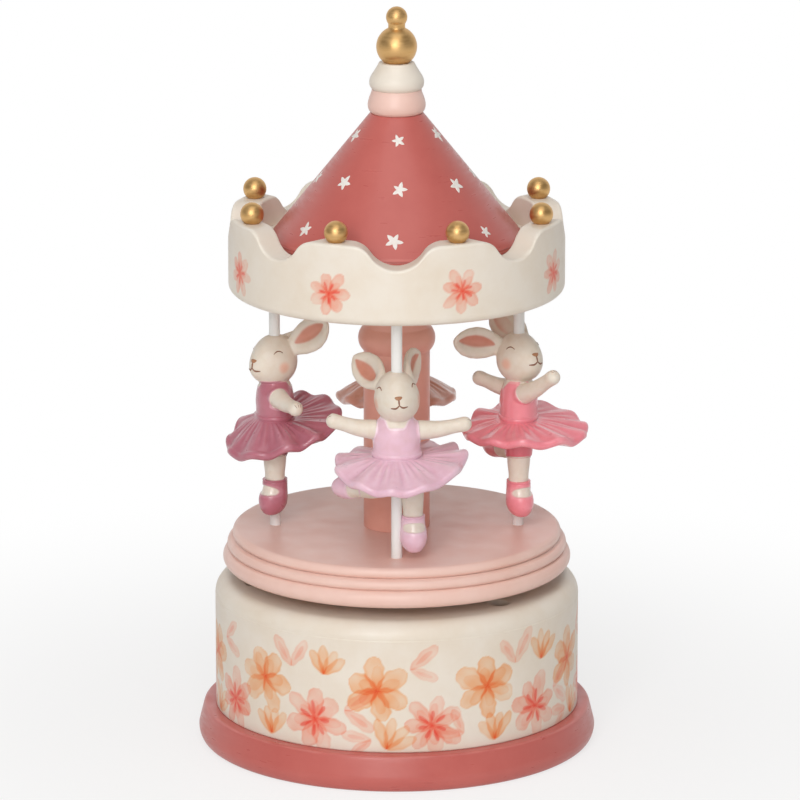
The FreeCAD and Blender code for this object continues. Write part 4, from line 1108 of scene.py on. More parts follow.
@dataclass
class Canopy:
    """The crown ring with its gold balls and the starred roof; the board inside the ring stays as imported."""

    ring_r: float = 46.0
    ring_wall: float = 7.5
    ring_z: float = 127.2
    ring_edge: float = 2.0
    valley_z: float = 142.6
    merlon_h: float = 6.4
    merlon_count: int = 8
    merlon_flat: float = 12.0
    merlon_shoulder: float = 6.0
    first_merlon_deg: float = -67.5
    soft: float = 0.8
    ball_r: float = 3.2
    ball_seat_r: float = 2.0
    ball_peg_r: float = 1.2
    ball_peg_h: float = 4.0
    deck_z: float = 140.8
    cone_r: float = 34.6
    cone_rim_h: float = 2.0
    cone_tip_r: float = 7.2
    cone_tip_z: float = 176.2
    star_rows: tuple[tuple[float, int, float], ...] = (
        (170.2, 5, -90.0), (159.2, 8, -88.0), (147.2, 7, -91.0),
    )
    star_r: float = 2.5
    flower_h: float = 8.8
    flower_r: float = 6.3

    def crest(self, radius: Array, angle: Array) -> Array:
        """Height of the ring's top: flat merlons, round shoulders and round valleys.

        With x the distance from the valley's middle square to its direction, the valley is a circle's foot
        up to where it meets the shoulder's circle, and the merlon is flat beyond the shoulder.

        Args:
            radius: Distance from the axis.
            angle: Angle in radians.

        Returns:
            Heights in millimetres.
        """
        half_pitch = np.pi / self.merlon_count
        first_valley = math.radians(self.first_merlon_deg) - half_pitch
        swing = (angle - first_valley + half_pitch) % (2 * half_pitch) - half_pitch
        x = np.abs(radius * np.sin(swing))
        half_w = np.pi * self.ring_r / self.merlon_count - self.merlon_flat / 2
        both = (half_w ** 2 + self.merlon_h ** 2) / (2 * self.merlon_h)
        valley_r = both - self.merlon_shoulder
        meet = half_w * valley_r / both
        top = self.valley_z + self.merlon_h
        valley = self.valley_z + valley_r - np.sqrt(np.maximum(valley_r ** 2 - np.minimum(x, meet) ** 2, 0.0))
        away = np.clip(half_w - x, 0.0, self.merlon_shoulder)
        shoulder = top - self.merlon_shoulder + np.sqrt(self.merlon_shoulder ** 2 - away ** 2)
        return np.where(x < meet, valley, shoulder)

    def posy(self) -> Meadow:
        """Lay out one coral flower under each merlon."""
        draw = np.random.default_rng(8)
        meadow = Meadow(2 * np.pi * self.ring_r)
        for k in range(self.merlon_count):
            a = math.radians(self.first_merlon_deg) + 2 * np.pi * k / self.merlon_count
            u = (a * self.ring_r) % meadow.girth + draw.uniform(-0.6, 0.6)
            v = self.ring_z + self.flower_h + draw.uniform(-0.5, 0.5)
            meadow.blossom(draw, u, v, self.flower_r, 7, Pigment.PINK, True)
        return meadow

    def ring(self) -> None:
        """Make the ring: its section is carried round the axis while the top follows the crest."""
        cols = 800
        a = np.arange(cols) * 2 * np.pi / cols
        inner = self.ring_r - self.ring_wall
        t = np.linspace(0.0, np.pi / 2, 6)
        low = self.ring_z + self.ring_edge
        under = np.linspace(inner + self.ring_edge, self.ring_r - self.ring_edge, 5)[:-1]
        share = np.linspace(0.0, 1.0, 52)
        down = np.linspace(1.0, 0.0, 8)
        radius: list[Array] = [under, self.ring_r - self.ring_edge * (1 - np.sin(t))]
        fixed: list[Array] = [np.full(len(under), self.ring_z), low - self.ring_edge * np.cos(t)]
        radius_all = np.concatenate(radius)[:, None] + np.zeros(cols)
        height_all = np.concatenate(fixed)[:, None] + np.zeros(cols)
        face_top = self.crest(np.full(cols, self.ring_r), a) - self.soft
        face = low + (face_top - low) * share[1:, None]
        round_out = self.ring_r - self.soft * (1 - np.cos(t[1:]))
        flat = np.linspace(self.ring_r - self.soft, inner + self.soft, 6)[1:-1]
        round_in = inner + self.soft * (1 - np.sin(t))
        top_r = np.concatenate([round_out, flat, round_in])
        drop = self.soft * np.concatenate([1 - np.sin(t[1:]), np.zeros(len(flat)), 1 - np.cos(t)])
        top_z = self.crest(top_r[:, None] + np.zeros(cols), a) - drop[:, None]
        back_top = self.crest(np.full(cols, inner), a) - self.soft
        back = low + (back_top - low) * down[1:, None]
        curl_r = inner + self.ring_edge * (1 - np.cos(t[1:-1]))
        curl_z = low - self.ring_edge * np.sin(t[1:-1])
        r = np.vstack([
            radius_all, np.full((len(face), cols), self.ring_r), top_r[:, None] + np.zeros(cols),
            np.full((len(back), cols), inner), curl_r[:, None] + np.zeros(cols),
        ])
        z = np.vstack([height_all, face, top_z, back, curl_z[:, None] + np.zeros(cols)])
        rings = np.stack([r * np.cos(a), r * np.sin(a), z], axis=-1)
        u = np.broadcast_to(a * self.ring_r, r.shape)
        front = r > self.ring_r - 0.6
        colours = np.tile(rgb(CREAM), (r.size, 1))
        colours[front.ravel()] = self.posy().paint(u[front], z[front], CREAM)
        wear = np.zeros(len(r))
        wear[len(radius_all) + len(face):len(radius_all) + len(face) + len(round_out)] = 1.0
        made = hoop(rings, wear, colours.reshape(*r.shape, 3))
        make_piece("crown_ring_painted", [made], BLOSSOM_PAINT.build(),
                   Body.CAROUSEL, ["crown_ring"])

    def balls(self) -> None:
        """Turn the gold balls, each a circle's arc from its seat to its top, on a peg."""
        material = GOLD_PAINT.build()
        top = self.valley_z + self.merlon_h
        lift = math.sqrt(self.ball_r ** 2 - self.ball_seat_r ** 2)
        a = np.linspace(-math.acos(self.ball_seat_r / self.ball_r), np.pi / 2 - 0.06, 30)
        arc = np.stack([self.ball_r * np.cos(a), top + lift + self.ball_r * np.sin(a)], axis=1)
        foot = top - self.ball_peg_h
        peg = np.array([[0.2, foot], [self.ball_peg_r, foot], [self.ball_peg_r, top]])
        profile = np.vstack([peg, arc])
        middle = self.ring_r - self.ring_wall / 2
        for k in range(self.merlon_count):
            angle = math.radians(self.first_merlon_deg) + 2 * np.pi * k / self.merlon_count
            at = (middle * math.cos(angle), middle * math.sin(angle))
            ball = lathe(profile, np.zeros(len(profile)), False, 48, at)
            make_piece("gold_ball_%d" % (k + 1), [ball], material,
                       Body.CAROUSEL, ["crown_bead_%d" % (k + 1)])

    def cone_radius(self, z: Array) -> Array:
        """Radius of the roof's slope at a height."""
        foot_r = self.cone_r - self.cone_rim_h / 4
        foot_z = self.deck_z + self.cone_rim_h
        return foot_r + (self.cone_tip_r - foot_r) * (z - foot_z) / (self.cone_tip_z - foot_z)

    def roof(self) -> None:
        """Turn the roof: a small rounded rim, a straight slope and a flat tip."""
        half = self.cone_rim_h / 2
        profile, wear = outline([
            (NEAR_AXIS, self.deck_z, 0.0),
            (self.cone_r - half * 0.4, self.deck_z, 0.5),
            (self.cone_r + half * 0.1, self.deck_z + half, 0.7),
            (self.cone_r - half / 2, self.deck_z + self.cone_rim_h, 0.8),
            (self.cone_tip_r, self.cone_tip_z, 0.3),
            (NEAR_AXIS, self.cone_tip_z, 0.0),
        ], False)
        make_piece("roof_turned", [lathe(profile, wear, False, 256)], ROSE_PAINT.build(),
                   Body.CAROUSEL, ["roof_cone"])

    def star(self, draw: np.random.Generator, z: float, degrees: float) -> Surface:
        """Lay one hand-painted star on the roof.

        In its own plane the star's edge is R (0.42 + 0.58 tri(5a)^1.25) with a triangle wave, its arms drawn
        a little unequal; it is bent onto the cone and its coat thins to the edge.

        Args:
            draw: Source of the small differences.
            z: Height on the roof.
            degrees: Angle round it.

        Returns:
            The star's thin closed coat.
        """
        cols = 60
        a = np.arange(cols) * 2 * np.pi / cols
        wave = np.abs((a * 5 / (2 * np.pi)) % 1.0 - 0.5) * 2.0
        arms = 1 + 0.22 * np.interp(a, np.linspace(0, 2 * np.pi, 6), np.append(draw.uniform(-1, 1, 5), 0.0))
        edge = self.star_r * draw.uniform(0.82, 1.1) * (0.42 + 0.58 * (1 - wave) ** 1.25) * arms
        turn = math.pi / 2 + draw.uniform(-0.35, 0.35)
        share = np.array([1.0, 1.0, 0.93, 0.75, 0.4, 0.08])[:, None]
        lift = np.array([-0.12, 0.0, 0.05, 0.07, 0.08, 0.08])[:, None]
        side = edge * share * np.cos(a + turn)
        up = edge * share * np.sin(a + turn)
        slope = math.atan2(self.cone_r - self.cone_tip_r, self.cone_tip_z - self.deck_z)
        height = z + up * math.cos(slope) + lift * math.sin(slope)
        radius = self.cone_radius(z + up * math.cos(slope)) + lift * math.cos(slope)
        angle = math.radians(degrees) + side / self.cone_radius(z)
        return skin(np.stack([radius * np.cos(angle), radius * np.sin(angle), height], axis=-1))

    def stars(self) -> None:
        """Paint the roof's stars in staggered rows."""
        draw = np.random.default_rng(5)
        made = []
        for z, count, first in self.star_rows:
            for k in range(count):
                height = z + draw.uniform(-0.8, 0.8)
                made.append(self.star(draw, height, first + 360.0 * k / count + draw.uniform(-3, 3)))
        make_piece("roof_stars", made, STAR_PAINT.build(), Body.CAROUSEL)

    def build(self) -> None:
        """Build and dress the canopy."""
        self.ring()
        self.balls()
        self.roof()
        self.stars()


@dataclass
class Finial:
    """The roof's top: a pink bead, a cream bell and the gold knob."""

    collar: tuple[tuple[float, float], ...] = (
        (6.85, 176.2), (7.55, 176.95), (7.9, 178.4), (7.55, 180.2), (6.95, 181.8), (6.75, 182.7),
    )
    bell: tuple[tuple[float, float], ...] = (
        (6.6, 182.7), (7.25, 183.5), (7.45, 184.8), (7.05, 186.2), (6.05, 187.8), (5.3, 189.1), (4.8, 190.0),
    )
    knob_z: float = 190.0
    knob_r: float = 5.55
    knob_seat_r: float = 3.4
    tip_r: float = 2.9
    tip_overlap: float = 0.4
    groove_r: float = 2.3
    bore_r: float = 2.05

    def bored(self, stations: Sequence[tuple[float, float]]) -> Surface:
        """Turn a bored bead whose side is a smooth curve through its stations."""
        side = through(stations, 26)
        profile = np.vstack([[[self.bore_r, side[0, 1]]], side, [[self.bore_r, side[-1, 1]]]])
        return lathe(profile, np.zeros(len(profile)), True, 96)

    def knob(self) -> Surface:
        """Turn the knob: two circles' arcs that are never narrower than the groove between them."""
        rise = math.sqrt(self.knob_r ** 2 - self.knob_seat_r ** 2)
        knob_mid = self.knob_z + rise
        apart = self.knob_r + self.tip_r - self.tip_overlap
        meet = (self.knob_r ** 2 - self.tip_r ** 2 + apart ** 2) / (2 * apart)
        b = np.linspace(math.asin(-rise / self.knob_r), math.asin(meet / self.knob_r), 30)
        c = np.linspace(math.asin((meet - apart) / self.tip_r), np.pi / 2 - 0.05, 22)[1:]
        floor = np.concatenate([np.where(b > 0, self.groove_r, 0.0), np.where(c < 0, self.groove_r, 0.0)])
        r = np.maximum(np.concatenate([self.knob_r * np.cos(b), self.tip_r * np.cos(c)]), floor)
        z = knob_mid + np.concatenate([self.knob_r * np.sin(b), apart + self.tip_r * np.sin(c)])
        profile = np.vstack([[[0.3, self.knob_z]], np.stack([r, z], axis=1)])
        return lathe(profile, np.zeros(len(profile)), False, 96)

    def build(self) -> None:
        """Turn and dress the three pieces."""
        for node, made, finish, slot in (
            ("finial_collar", self.bored(self.collar), PINK_PAINT, Slot.PALE_PINK),
            ("finial_bell", self.bored(self.bell), CREAM_PAINT, Slot.CREAM),
            ("finial_knob", self.knob(), GOLD_PAINT, Slot.GOLD),
        ):
            make_piece(node + "_turned", [made], finish.build(), Body.CAROUSEL, [node])


@dataclass(frozen=True)
class Ear:
    """An ear's direction and the way that it opens, both outward, backward and up."""

    along: tuple[float, float, float]
    opening: tuple[float, float, float]


@dataclass(frozen=True)
class Pose:
    """How one dancer stands, and its dress' colours; a reach is outward, backward and up of the shoulder."""

    name: str
    pole_deg: float
    mirrored: bool
    lift: float
    head_sink: float
    head_turn_deg: float
    head_nod_deg: float
    head_roll_deg: float
    right_ear: Ear
    left_ear: Ear
    right_reach: tuple[float, float, float]
    left_reach: tuple[float, float, float]
    skirt_r: float
    skirt_shift: tuple[float, float]
    rim_drop: float
    roll_deg: float
    pitch_deg: float
    fold: float
    toe_turn_deg: float
    leg_swing_deg: float
    leg_raise: float
    dress: str
    # light: the bodice's trim and the slippers' edges, and a painted highlight on the skirt's crests. deep:
    # painted shade in the skirt's folds, under the skirt and in the slippers' groove, and the short trunk's
    # colour.
    light: str
    deep: str
    slot: Slot


@dataclass
class Dancer:
    """A cast rabbit on its pole; it faces -Y, its left is +X, and its places are from pole and platform."""

    pose: Pose
    pole_circle_r: float = POLE_CIRCLE_R
    floor_z: float = PLATFORM_Z
    torso: tuple[tuple[float, float, float], ...] = (
        (19.6, 3.4, 3.3), (21.0, 4.4, 4.2), (24.5, 5.4, 4.6), (28.3, 6.3, 4.9), (31.0, 6.1, 4.9),
        (33.4, 6.2, 5.0), (36.0, 6.0, 4.7), (38.0, 5.1, 4.2), (39.6, 3.9, 3.6), (41.0, 3.0, 3.0),
    )
    head_z: float = 46.2
    head_half_w: float = 6.15
    head_low: float = 6.8
    head_high: float = 7.1
    head_front: float = 7.5
    head_back: float = 6.4
    muzzle: float = 0.9
    muzzle_drop: float = 1.0
    ear_l: float = 14.0
    ear_half_w: float = 4.6
    ear_half_t: float = 1.5
    ear_groove: float = 1.5
    ear_root: tuple[float, float, float] = (4.0, 3.0, 3.8)
    shoulder: tuple[float, float, float] = (3.6, 0.0, 35.6)
    hand_r: float = 2.0
    leg_out: float = 4.4
    leg_r: float = 3.25
    ankle_r: float = 2.75
    hip_z: float = 21.0
    toe_z: float = 1.8
    shoe_h: float = 10.2
    shoe_half_w: float = 3.6
    shoe_half_l: float = 4.1
    shoe_lead: float = 1.4
    raised: tuple[tuple[float, float, float], ...] = (
        (-1.5, 0.8, 21.5), (-6.5, 3.0, 18.5), (-10.7, 5.0, 17.7), (-17.5, 8.2, 16.7),
    )
    waist_z: float = 28.3
    armhole: float = 2.3
    arm_round: float = 3.2
    neckline_z: float = 37.2
    strap_rise: float = 2.4
    cloth_h: float = 0.3
    casting_voxel: float = 0.25
    casting_rounds: int = 3
    skirt_edge: float = 2.4
    rim_round: float = 1.0
    skirt_low_z: float = 22.4
    skirt_hole_r: float = 4.2
    waist_half_w: float = 6.55
    waist_half_d: float = 5.2
    pleat_h: float = 0.21
    ruffles: int = 11
    ruffle_h: float = 0.7
    ruffle_out: float = 0.5
    ivory: str = "#e9decf"
    inner_ear: str = "#d58a74"
    blush: str = "#f0a584"
    line: str = "#8f6148"
    line_h: float = 0.15
    finger_half_w: float = 0.1
    nose: str = "#b07d5a"

    def head_turn(self) -> Array:
        """Matrix of the head's roll, nod and turn."""
        p = self.pose
        roll = turn_x(90.0) @ turn_z(p.head_roll_deg) @ turn_x(-90.0)
        return turn_z(p.head_turn_deg) @ turn_x(p.head_nod_deg) @ roll

    def head_middle(self) -> Array:
        """Return the head's centre."""
        return np.array([0.0, 0.0, self.head_z - self.pose.head_sink])

    def head_point(self, azimuth: Array, elevation: Array) -> Array:
        """Point of the head's skin in the dancer's frame.

        A sphere, squared a little by the power 0.88 of the elevation's cosine, is stretched by its half
        sizes. It narrows toward the crown and the nose, and the muzzle is a bell curve that stands out and
        hangs.

        Args:
            azimuth: Radians from straight ahead toward its left.
            elevation: Radians above the head's middle.

        Returns:
            Points with three coordinates.
        """
        flat = np.abs(np.cos(elevation)) ** 0.88
        sx = flat * np.sin(azimuth)
        sy = -flat * np.cos(azimuth)
        sz = np.sin(elevation)
        ahead = np.clip(-sy, 0.0, 1.0)
        swell = np.exp(-(azimuth_wrap(azimuth) / 0.62) ** 2 - ((elevation + 0.08) / 0.5) ** 2)
        x = sx * self.head_half_w * (1 - 0.10 * sz - 0.05 * sz ** 2 - 0.14 * ahead ** 2)
        y = np.where(sy < 0, self.head_front, self.head_back) * sy - self.muzzle * swell
        z = np.where(sz < 0, self.head_low, self.head_high) * sz - self.muzzle_drop * ahead ** 2
        return np.stack([x, y, z], axis=-1) @ self.head_turn().T + self.head_middle()

    def head(self) -> Surface:
        """Cover the head from its foot to its crown."""
        e = np.linspace(-np.pi / 2 + 0.03, np.pi / 2 - 0.03, 48)[:, None]
        a = (np.arange(72) * 2 * np.pi / 72)[None, :]
        return skin(self.head_point(a + 0 * e, e + 0 * a))

    def ears(self) -> list[tuple[Array, Array, Array, Array]]:
        """Return each ear's root, its direction, the way across it and the way that it opens."""
        frames = []
        for side, ear in ((-1, self.pose.right_ear), (1, self.pose.left_ear)):
            root = (np.array(self.ear_root) * (side, 1, 1)) @ self.head_turn().T + self.head_middle()
            along = unit(np.array(ear.along) * (side, 1, 1))
            opening = np.array(ear.opening) * (side, 1, 1)
            opening = unit(opening - along * (along @ opening))
            frames.append((root, along, np.cross(along, opening), opening))
        return frames

    def ear_width(self, share: Array) -> Array:
        """Half width of an ear along its length: narrow root, full middle, blunt tip."""
        stations = (-0.1, 0.05, 0.2, 0.38, 0.55, 0.75, 0.9, 0.97, 1.0)
        widths = (0.45, 0.62, 0.84, 0.98, 1.0, 0.84, 0.54, 0.3, 0.12)
        return self.ear_half_w * np.interp(share, stations, widths)

    def ear_bend(self, share: Array) -> Array:
        """How far an ear's middle line bows away from the way that it opens."""
        return -1.0 * np.sin(np.clip(share, 0, 1) * np.pi)

    def ear(self, root: Array, along: Array, across: Array, opening: Array) -> Surface:
        """Sweep an ear: a flat oval along its direction with a groove on the side that opens.

        With c = cos a the way across, the groove is g exp(-(c / 0.45)^2), faded at the root and the tip.

        Args:
            root: Where it leaves the head.
            along: Its direction.
            across: Its width's direction.
            opening: The side with the groove.

        Returns:
            The ear's surface.
        """
        share = np.concatenate([np.linspace(-0.1, 0.85, 40), np.linspace(0.87, 1.0, 12)])
        a = np.arange(64) * 2 * np.pi / 64
        wide = self.ear_width(share)[:, None] * np.cos(a)
        thick = np.interp(share, (-0.1, 0.2, 0.8, 1.0), (1.0, 1.0, 0.85, 0.3))[:, None] * self.ear_half_t
        fade = (smoothstep(0.02, 0.3, share) * smoothstep(1.0, 0.7, share))[:, None]
        groove = self.ear_groove * fade * np.exp(-(np.cos(a) / 0.45) ** 2) * (np.sin(a) > 0)
        lobes = 0.35 * fade * np.cos(a) ** 2
        deep = thick * np.sin(a) - groove + lobes + self.ear_bend(share)[:, None]
        middle = root + along * (share * self.ear_l)[:, None]
        rings = middle[:, None, :] + wide[..., None] * across + deep[..., None] * opening
        return skin(rings[:, ::-1])

    def limb(self, stations: Sequence[Sequence[float]], rows: int = 40) -> Surface:
        """Sweep a round limb through (x, y, z, radius) stations."""
        line = through(stations, rows)
        return skin(sweep(line[:, :3], line[:, 3], line[:, 3], (0.31, -0.87, 0.38), 36))

    def arm_line(self, side: int, reach: tuple[float, float, float]) -> tuple[Array, Array]:
        """Return an arm's start in the shoulder and its span to the hand."""
        return np.array(self.shoulder) * (side, 1, 1), np.array(reach) * (side, 1, 1)

    def arm(self, side: int, reach: tuple[float, float, float]) -> Surface:
        """Sweep an arm from inside the shoulder to its rounded hand.

        Args:
            side: -1 for its right, 1 for its left.
            reach: The hand's place from the shoulder.

        Returns:
            The arm's surface.
        """
        start, span = self.arm_line(side, reach)
        drop = np.array([0.0, 0.0, -0.6])
        way = unit(span)
        r = self.hand_r
        spots = [
            (start - way * 1.0, 2.6), (start + span * 0.18 + drop * 0.5, 2.7),
            (start + span * 0.5 + drop, 2.3), (start + span * 0.8 + drop * 0.4, 1.95),
            (start + span, r + 0.05), (start + span + way * 0.55 * r, r * 0.86),
            (start + span + way * 0.92 * r, r * 0.45), (start + span + way * r, r * 0.1),
        ]
        return self.limb([(*p, radius) for p, radius in spots], 46)

    def trunk(self) -> Surface:
        """Sweep the trunk's ovals from the hips to the neck."""
        line = through(self.torso, 46)
        path = np.stack([0 * line[:, 0], 0 * line[:, 0], line[:, 0]], axis=1)
        return skin(sweep(path, line[:, 2], line[:, 1], (0, -1, 0), 64))

    def raised_leg(self) -> Array:
        """Return the raised leg's hip, knee, heel and toe as this dancer holds them."""
        line = np.array(self.raised) @ turn_z(self.pose.leg_swing_deg).T
        line[:, 2] += self.pose.leg_raise * np.array([0.0, 0.5, 1.0, 1.0])
        return line

    def legs(self) -> list[Surface]:
        """Sweep the standing leg and the leg raised behind."""
        out, foot = self.leg_out, self.toe_z + self.shoe_h
        standing = self.limb([
            (out, -0.4, foot - 5.0, 2.3), (out, 0.0, foot - 2.0, self.ankle_r),
            (out, 0.0, foot + 1.5, self.ankle_r),
            (out * 0.95, 0.0, 17.5, 3.15), (out * 0.8, 0.0, self.hip_z + 2.0, self.leg_r),
        ])
        hip, knee, heel, toe = self.raised_leg()
        raised = self.limb([
            (*(hip + (0.7, -0.3, 0.5)), self.leg_r), (*((hip + knee) / 2), 3.3), (*knee, 3.15), (*heel, 2.75),
            (*(heel + (toe - heel) * 0.3), 2.2),
        ])
        return [standing, raised]

    def bodice(self, points: Array) -> Array:
        """How far each point lies inside the bodice's edge.

        The edge is the nearest of the neckline, which rises from the front and the back to the shoulders,
        and of each armhole, which cuts off the round of the arm.

        Args:
            points: Points of the figure.

        Returns:
            Millimetres inside, or outside as negative numbers.
        """
        side = np.abs(points[:, 0]) / np.maximum(np.hypot(points[:, 0], points[:, 1]), 0.1)
        inside = self.neckline_z + self.strap_rise * smoothstep(0.35, 0.85, side) - points[:, 2]
        for way, reach in ((-1, self.pose.right_reach), (1, self.pose.left_reach)):
            start, span = self.arm_line(way, reach)
            off = points - start
            along = off @ unit(span)
            round_r = np.linalg.norm(off - along[:, None] * unit(span), axis=1)
            inside = np.minimum(inside, np.maximum(self.armhole - along, round_r - self.arm_round))
        return np.minimum(inside, points[:, 2] - self.hip_z)

    def figure(self) -> Surface:
        """Cast the rabbit's body and paint it: ivory, its bodice, terracotta ears and peach on the cheeks."""
        arms = [self.arm(-1, self.pose.right_reach), self.arm(1, self.pose.left_reach)]
        parts = [self.trunk(), self.head(), *arms]
        parts += [self.ear(*e) for e in self.ears()] + self.legs()
        made = melt(parts, self.casting_voxel, self.casting_rounds)
        paint = np.tile(rgb(self.ivory), (len(made.points), 1))
        for root, along, across, opening in self.ears():
            off = made.points - root
            share = off @ along / self.ear_l
            wide = np.abs(off @ across / np.maximum(self.ear_width(share), 0.1) + 0.12)
            front = smoothstep(-1.6, -0.9, off @ opening - self.ear_bend(share))
            leaf = np.sqrt(np.clip((share - 0.12) * (0.9 - share), 0, None)) / 0.39
            mask = smoothstep(-0.08, 0.1, 0.4 * leaf - wide) * front * ((share > 0.12) & (share < 0.9))
            paint += mask[:, None] * 0.9 * (rgb(self.inner_ear) - paint)
        for side in (-1, 1):
            cheek = self.head_point(np.array(side * 1.33), np.array(-0.16))
            far = np.linalg.norm(made.points - cheek, axis=1)
            paint += (0.55 * np.exp(-(far / 1.6) ** 4))[:, None] * (rgb(self.blush) - paint)
        inside = self.bodice(made.points)
        head_gap = np.linalg.norm((made.points - self.head_middle()) / (1.0, 1.1, 1.0), axis=1)
        cloth = smoothstep(-0.12, 0.12, inside) * smoothstep(6.7, 6.95, head_gap)
        trim = cloth * smoothstep(0.65, 0.4, inside)
        paint += cloth[:, None] * (rgb(self.pose.dress) - paint)
        paint += (0.75 * trim)[:, None] * (rgb(self.pose.light) - paint)
        out = made.points * (1.0, 1.3, 0.0)
        made.points = made.points + self.cloth_h * cloth[:, None] * unit(out + (0.0, 1e-6, 0.0))
        made.paint = paint
        made.wear = cloth
        return made

    def trunk_size(self, z: Array) -> tuple[Array, Array]:
        """Return the trunk's half width and half depth at heights."""
        line = through(self.torso, 200)
        return np.interp(z, line[:, 0], line[:, 1]), np.interp(z, line[:, 0], line[:, 2])

    def skirt(self) -> list[Surface]:
        """Cover the skirt in one run: under it, round its rim, in over its top and round the waist.

        Round the figure by the angle f from the front, the rim stands at R + o w and its height adds h w,
        where w is a cosine that runs n times round at an uneven pace. The skirt's pitch and roll tip it,
        and a fold lets it hang by the square of the way forward. Finer pleats fade to the waist and the
        rim.

        Returns:
            The skirt and the short trunk on the standing leg.
        """
        p = self.pose
        cols = 440
        f = np.arange(cols) * 2 * np.pi / cols
        side, ahead = np.sin(f), -np.cos(f)
        wave = np.cos(self.ruffles * (f - np.pi / 2) + 0.5 * np.sin(2 * f + 0.7) + 0.4 * np.sin(3 * f))
        wave = wave * (0.75 + 0.25 * np.sin(2 * f + p.pole_deg))
        pleat = 0.5 * np.cos(37 * f + 2.2 * np.sin(3 * f)) + 0.5 * np.cos(23 * f + 2.6 * np.sin(4 * f + 1))
        half = self.skirt_edge / 2
        rim_r = p.skirt_r - self.rim_round + self.ruffle_out * wave
        tip = math.tan(math.radians(p.pitch_deg)) * ahead + math.tan(math.radians(p.roll_deg)) * side
        middle = self.waist_z - p.rim_drop - half + tip * p.skirt_r
        middle = middle - p.fold * ahead ** 2 + self.ruffle_h * wave

        under = np.linspace(0.0, 1.0, 16)[:-1, None]
        under_r = self.skirt_hole_r + (rim_r - self.skirt_hole_r) * under
        low = min(self.skirt_low_z, float(middle.min()) - half + 1.5)
        under_z = low + (middle - half - low) * under ** 1.2
        a = np.linspace(-np.pi / 2, np.pi / 2, 11)[:, None]
        rim_rows = rim_r + self.rim_round * np.cos(a)
        rim_z = middle + half * np.sin(a)
        over = np.linspace(1.0, 0.0, 34)[1:, None]
        over_x = side * (self.waist_half_w + (rim_r - self.waist_half_w) * over)
        over_y = ahead * (self.waist_half_d + (rim_r - self.waist_half_d) * over)
        ease = 0.75 * over + 0.25 * over ** 2
        crease = np.sin(np.pi * np.clip(over * 1.08, 0, 1)) ** 0.7
        over_z = self.waist_z + 0.1 + (middle + half - self.waist_z - 0.1) * ease
        over_z = over_z + self.pleat_h * pleat * crease
        band_z = self.waist_z + np.array([0.35, 0.7, 1.2, 1.5, 1.7])[:, None] + 0 * f
        band_out = np.array([0.45, 0.62, 0.5, 0.3, -0.4])[:, None]
        w, d = self.trunk_size(band_z)
        x = np.vstack([side * under_r, side * rim_rows, over_x, side * (w + band_out)])
        y = np.vstack([ahead * under_r, ahead * rim_rows, over_y, ahead * (d + band_out)])
        z = np.vstack([under_z, rim_z, over_z, band_z])
        flare = np.vstack([under + 0 * f, 1 + 0 * rim_rows, over + 0 * f, 0 * band_z])
        x += p.skirt_shift[0] * flare
        y += p.skirt_shift[1] * flare

        # The skirt's colour holds painted light: the underside, the ruffles' troughs and the pleats' folds are
        # darkened toward the deep colour as painted shade, and the crests are lightened toward the light colour
        # as a painted highlight, partly dry-brushed wear.
        underside_shade = np.concatenate([np.full(len(under), 0.6), np.zeros(len(z) - len(under))])[:, None]
        crease = np.sin(np.pi * np.clip(flare, 0, 1))
        fold_shade = crease * smoothstep(0.1, -0.8, pleat + 0 * flare)
        crest_highlight_and_wear = crease * smoothstep(0.1, 0.95, pleat + 0 * flare)
        valley = 0.25 * flare ** 1.3 * (0.5 - 0.5 * wave) + 0.28 * fold_shade
        crest = 0.22 * crest_highlight_and_wear + 0.25 * flare ** 2 * smoothstep(0.3, 1.0, wave)
        base, light, deep = rgb(p.dress), rgb(p.light), rgb(p.deep)
        # Painted shade in the folds and under the skirt.
        paint = base + np.clip(valley + underside_shade, 0, 1)[..., None] * (deep - base)
        # Painted highlight on the crests, partly dry-brushed wear.
        paint = paint + (crest * (underside_shade == 0))[..., None] * (light - paint)
        out = self.leg_out
        short = through([
            (out * 0.9, 0, 18.9, 3.0), (out * 0.9, 0, 18.8, 3.5), (out * 0.89, 0, 19.2, 3.72),
            (out * 0.86, 0, 20.6, 3.85), (out * 0.8, 0, 23.2, 4.0),
        ], 20)
        trunk = skin(sweep(short[:, :3], short[:, 3], short[:, 3], (0, -1, 0), 40)).painted(p.deep)
        return [skin(np.stack([x, y, z], axis=-1), None, paint), trunk]

    def slipper(self, path: Array, ahead: Array, aside: Array, facing: Sequence[float]) -> Surface:
        """Sweep a strapped slipper over a foot; where it is cut out, the ivory foot shows a little lower.

        The cut-out is the ellipse of share 0.66 +- 0.12 along the foot and +- 1.2 rad about its front, and
        a fine groove at share 0.88 divides the strap.

        Args:
            path: From toe to ankle.
            ahead: Half sizes toward the front at each point.
            aside: Half sizes across.
            facing: The foot's front.

        Returns:
            The painted slipper.
        """
        rows, cols = len(path), 64
        share = np.linspace(0.0, 1.02, rows)[:, None]
        front = np.abs(azimuth_wrap(np.arange(cols) * 2 * np.pi / cols))
        gap = np.hypot((share - 0.66) / 0.12, front / 1.2)
        cover = smoothstep(0.9, 1.12, gap)
        seam = np.exp(-((share - 0.88) / 0.022) ** 2)
        rings = sweep(path, ahead, aside, facing, cols)
        middle = path[:, None, :]
        rings = middle + (rings - middle) * (1 - 0.09 * (1 - cover) - 0.04 * seam)[..., None]
        edge = np.exp(-((gap - 1.2) / 0.16) ** 2)
        dress, ivory, light = rgb(self.pose.dress), rgb(self.ivory), rgb(self.pose.light)
        paint = ivory + cover[..., None] * (dress - ivory)
        paint = paint + (0.4 * edge * cover)[..., None] * (light - paint)
        # Painted shade: the strap's groove is darkened toward the deep colour.
        paint = paint + (0.5 * seam * cover)[..., None] * (rgb(self.pose.deep) - paint)
        return skin(rings, None, paint)

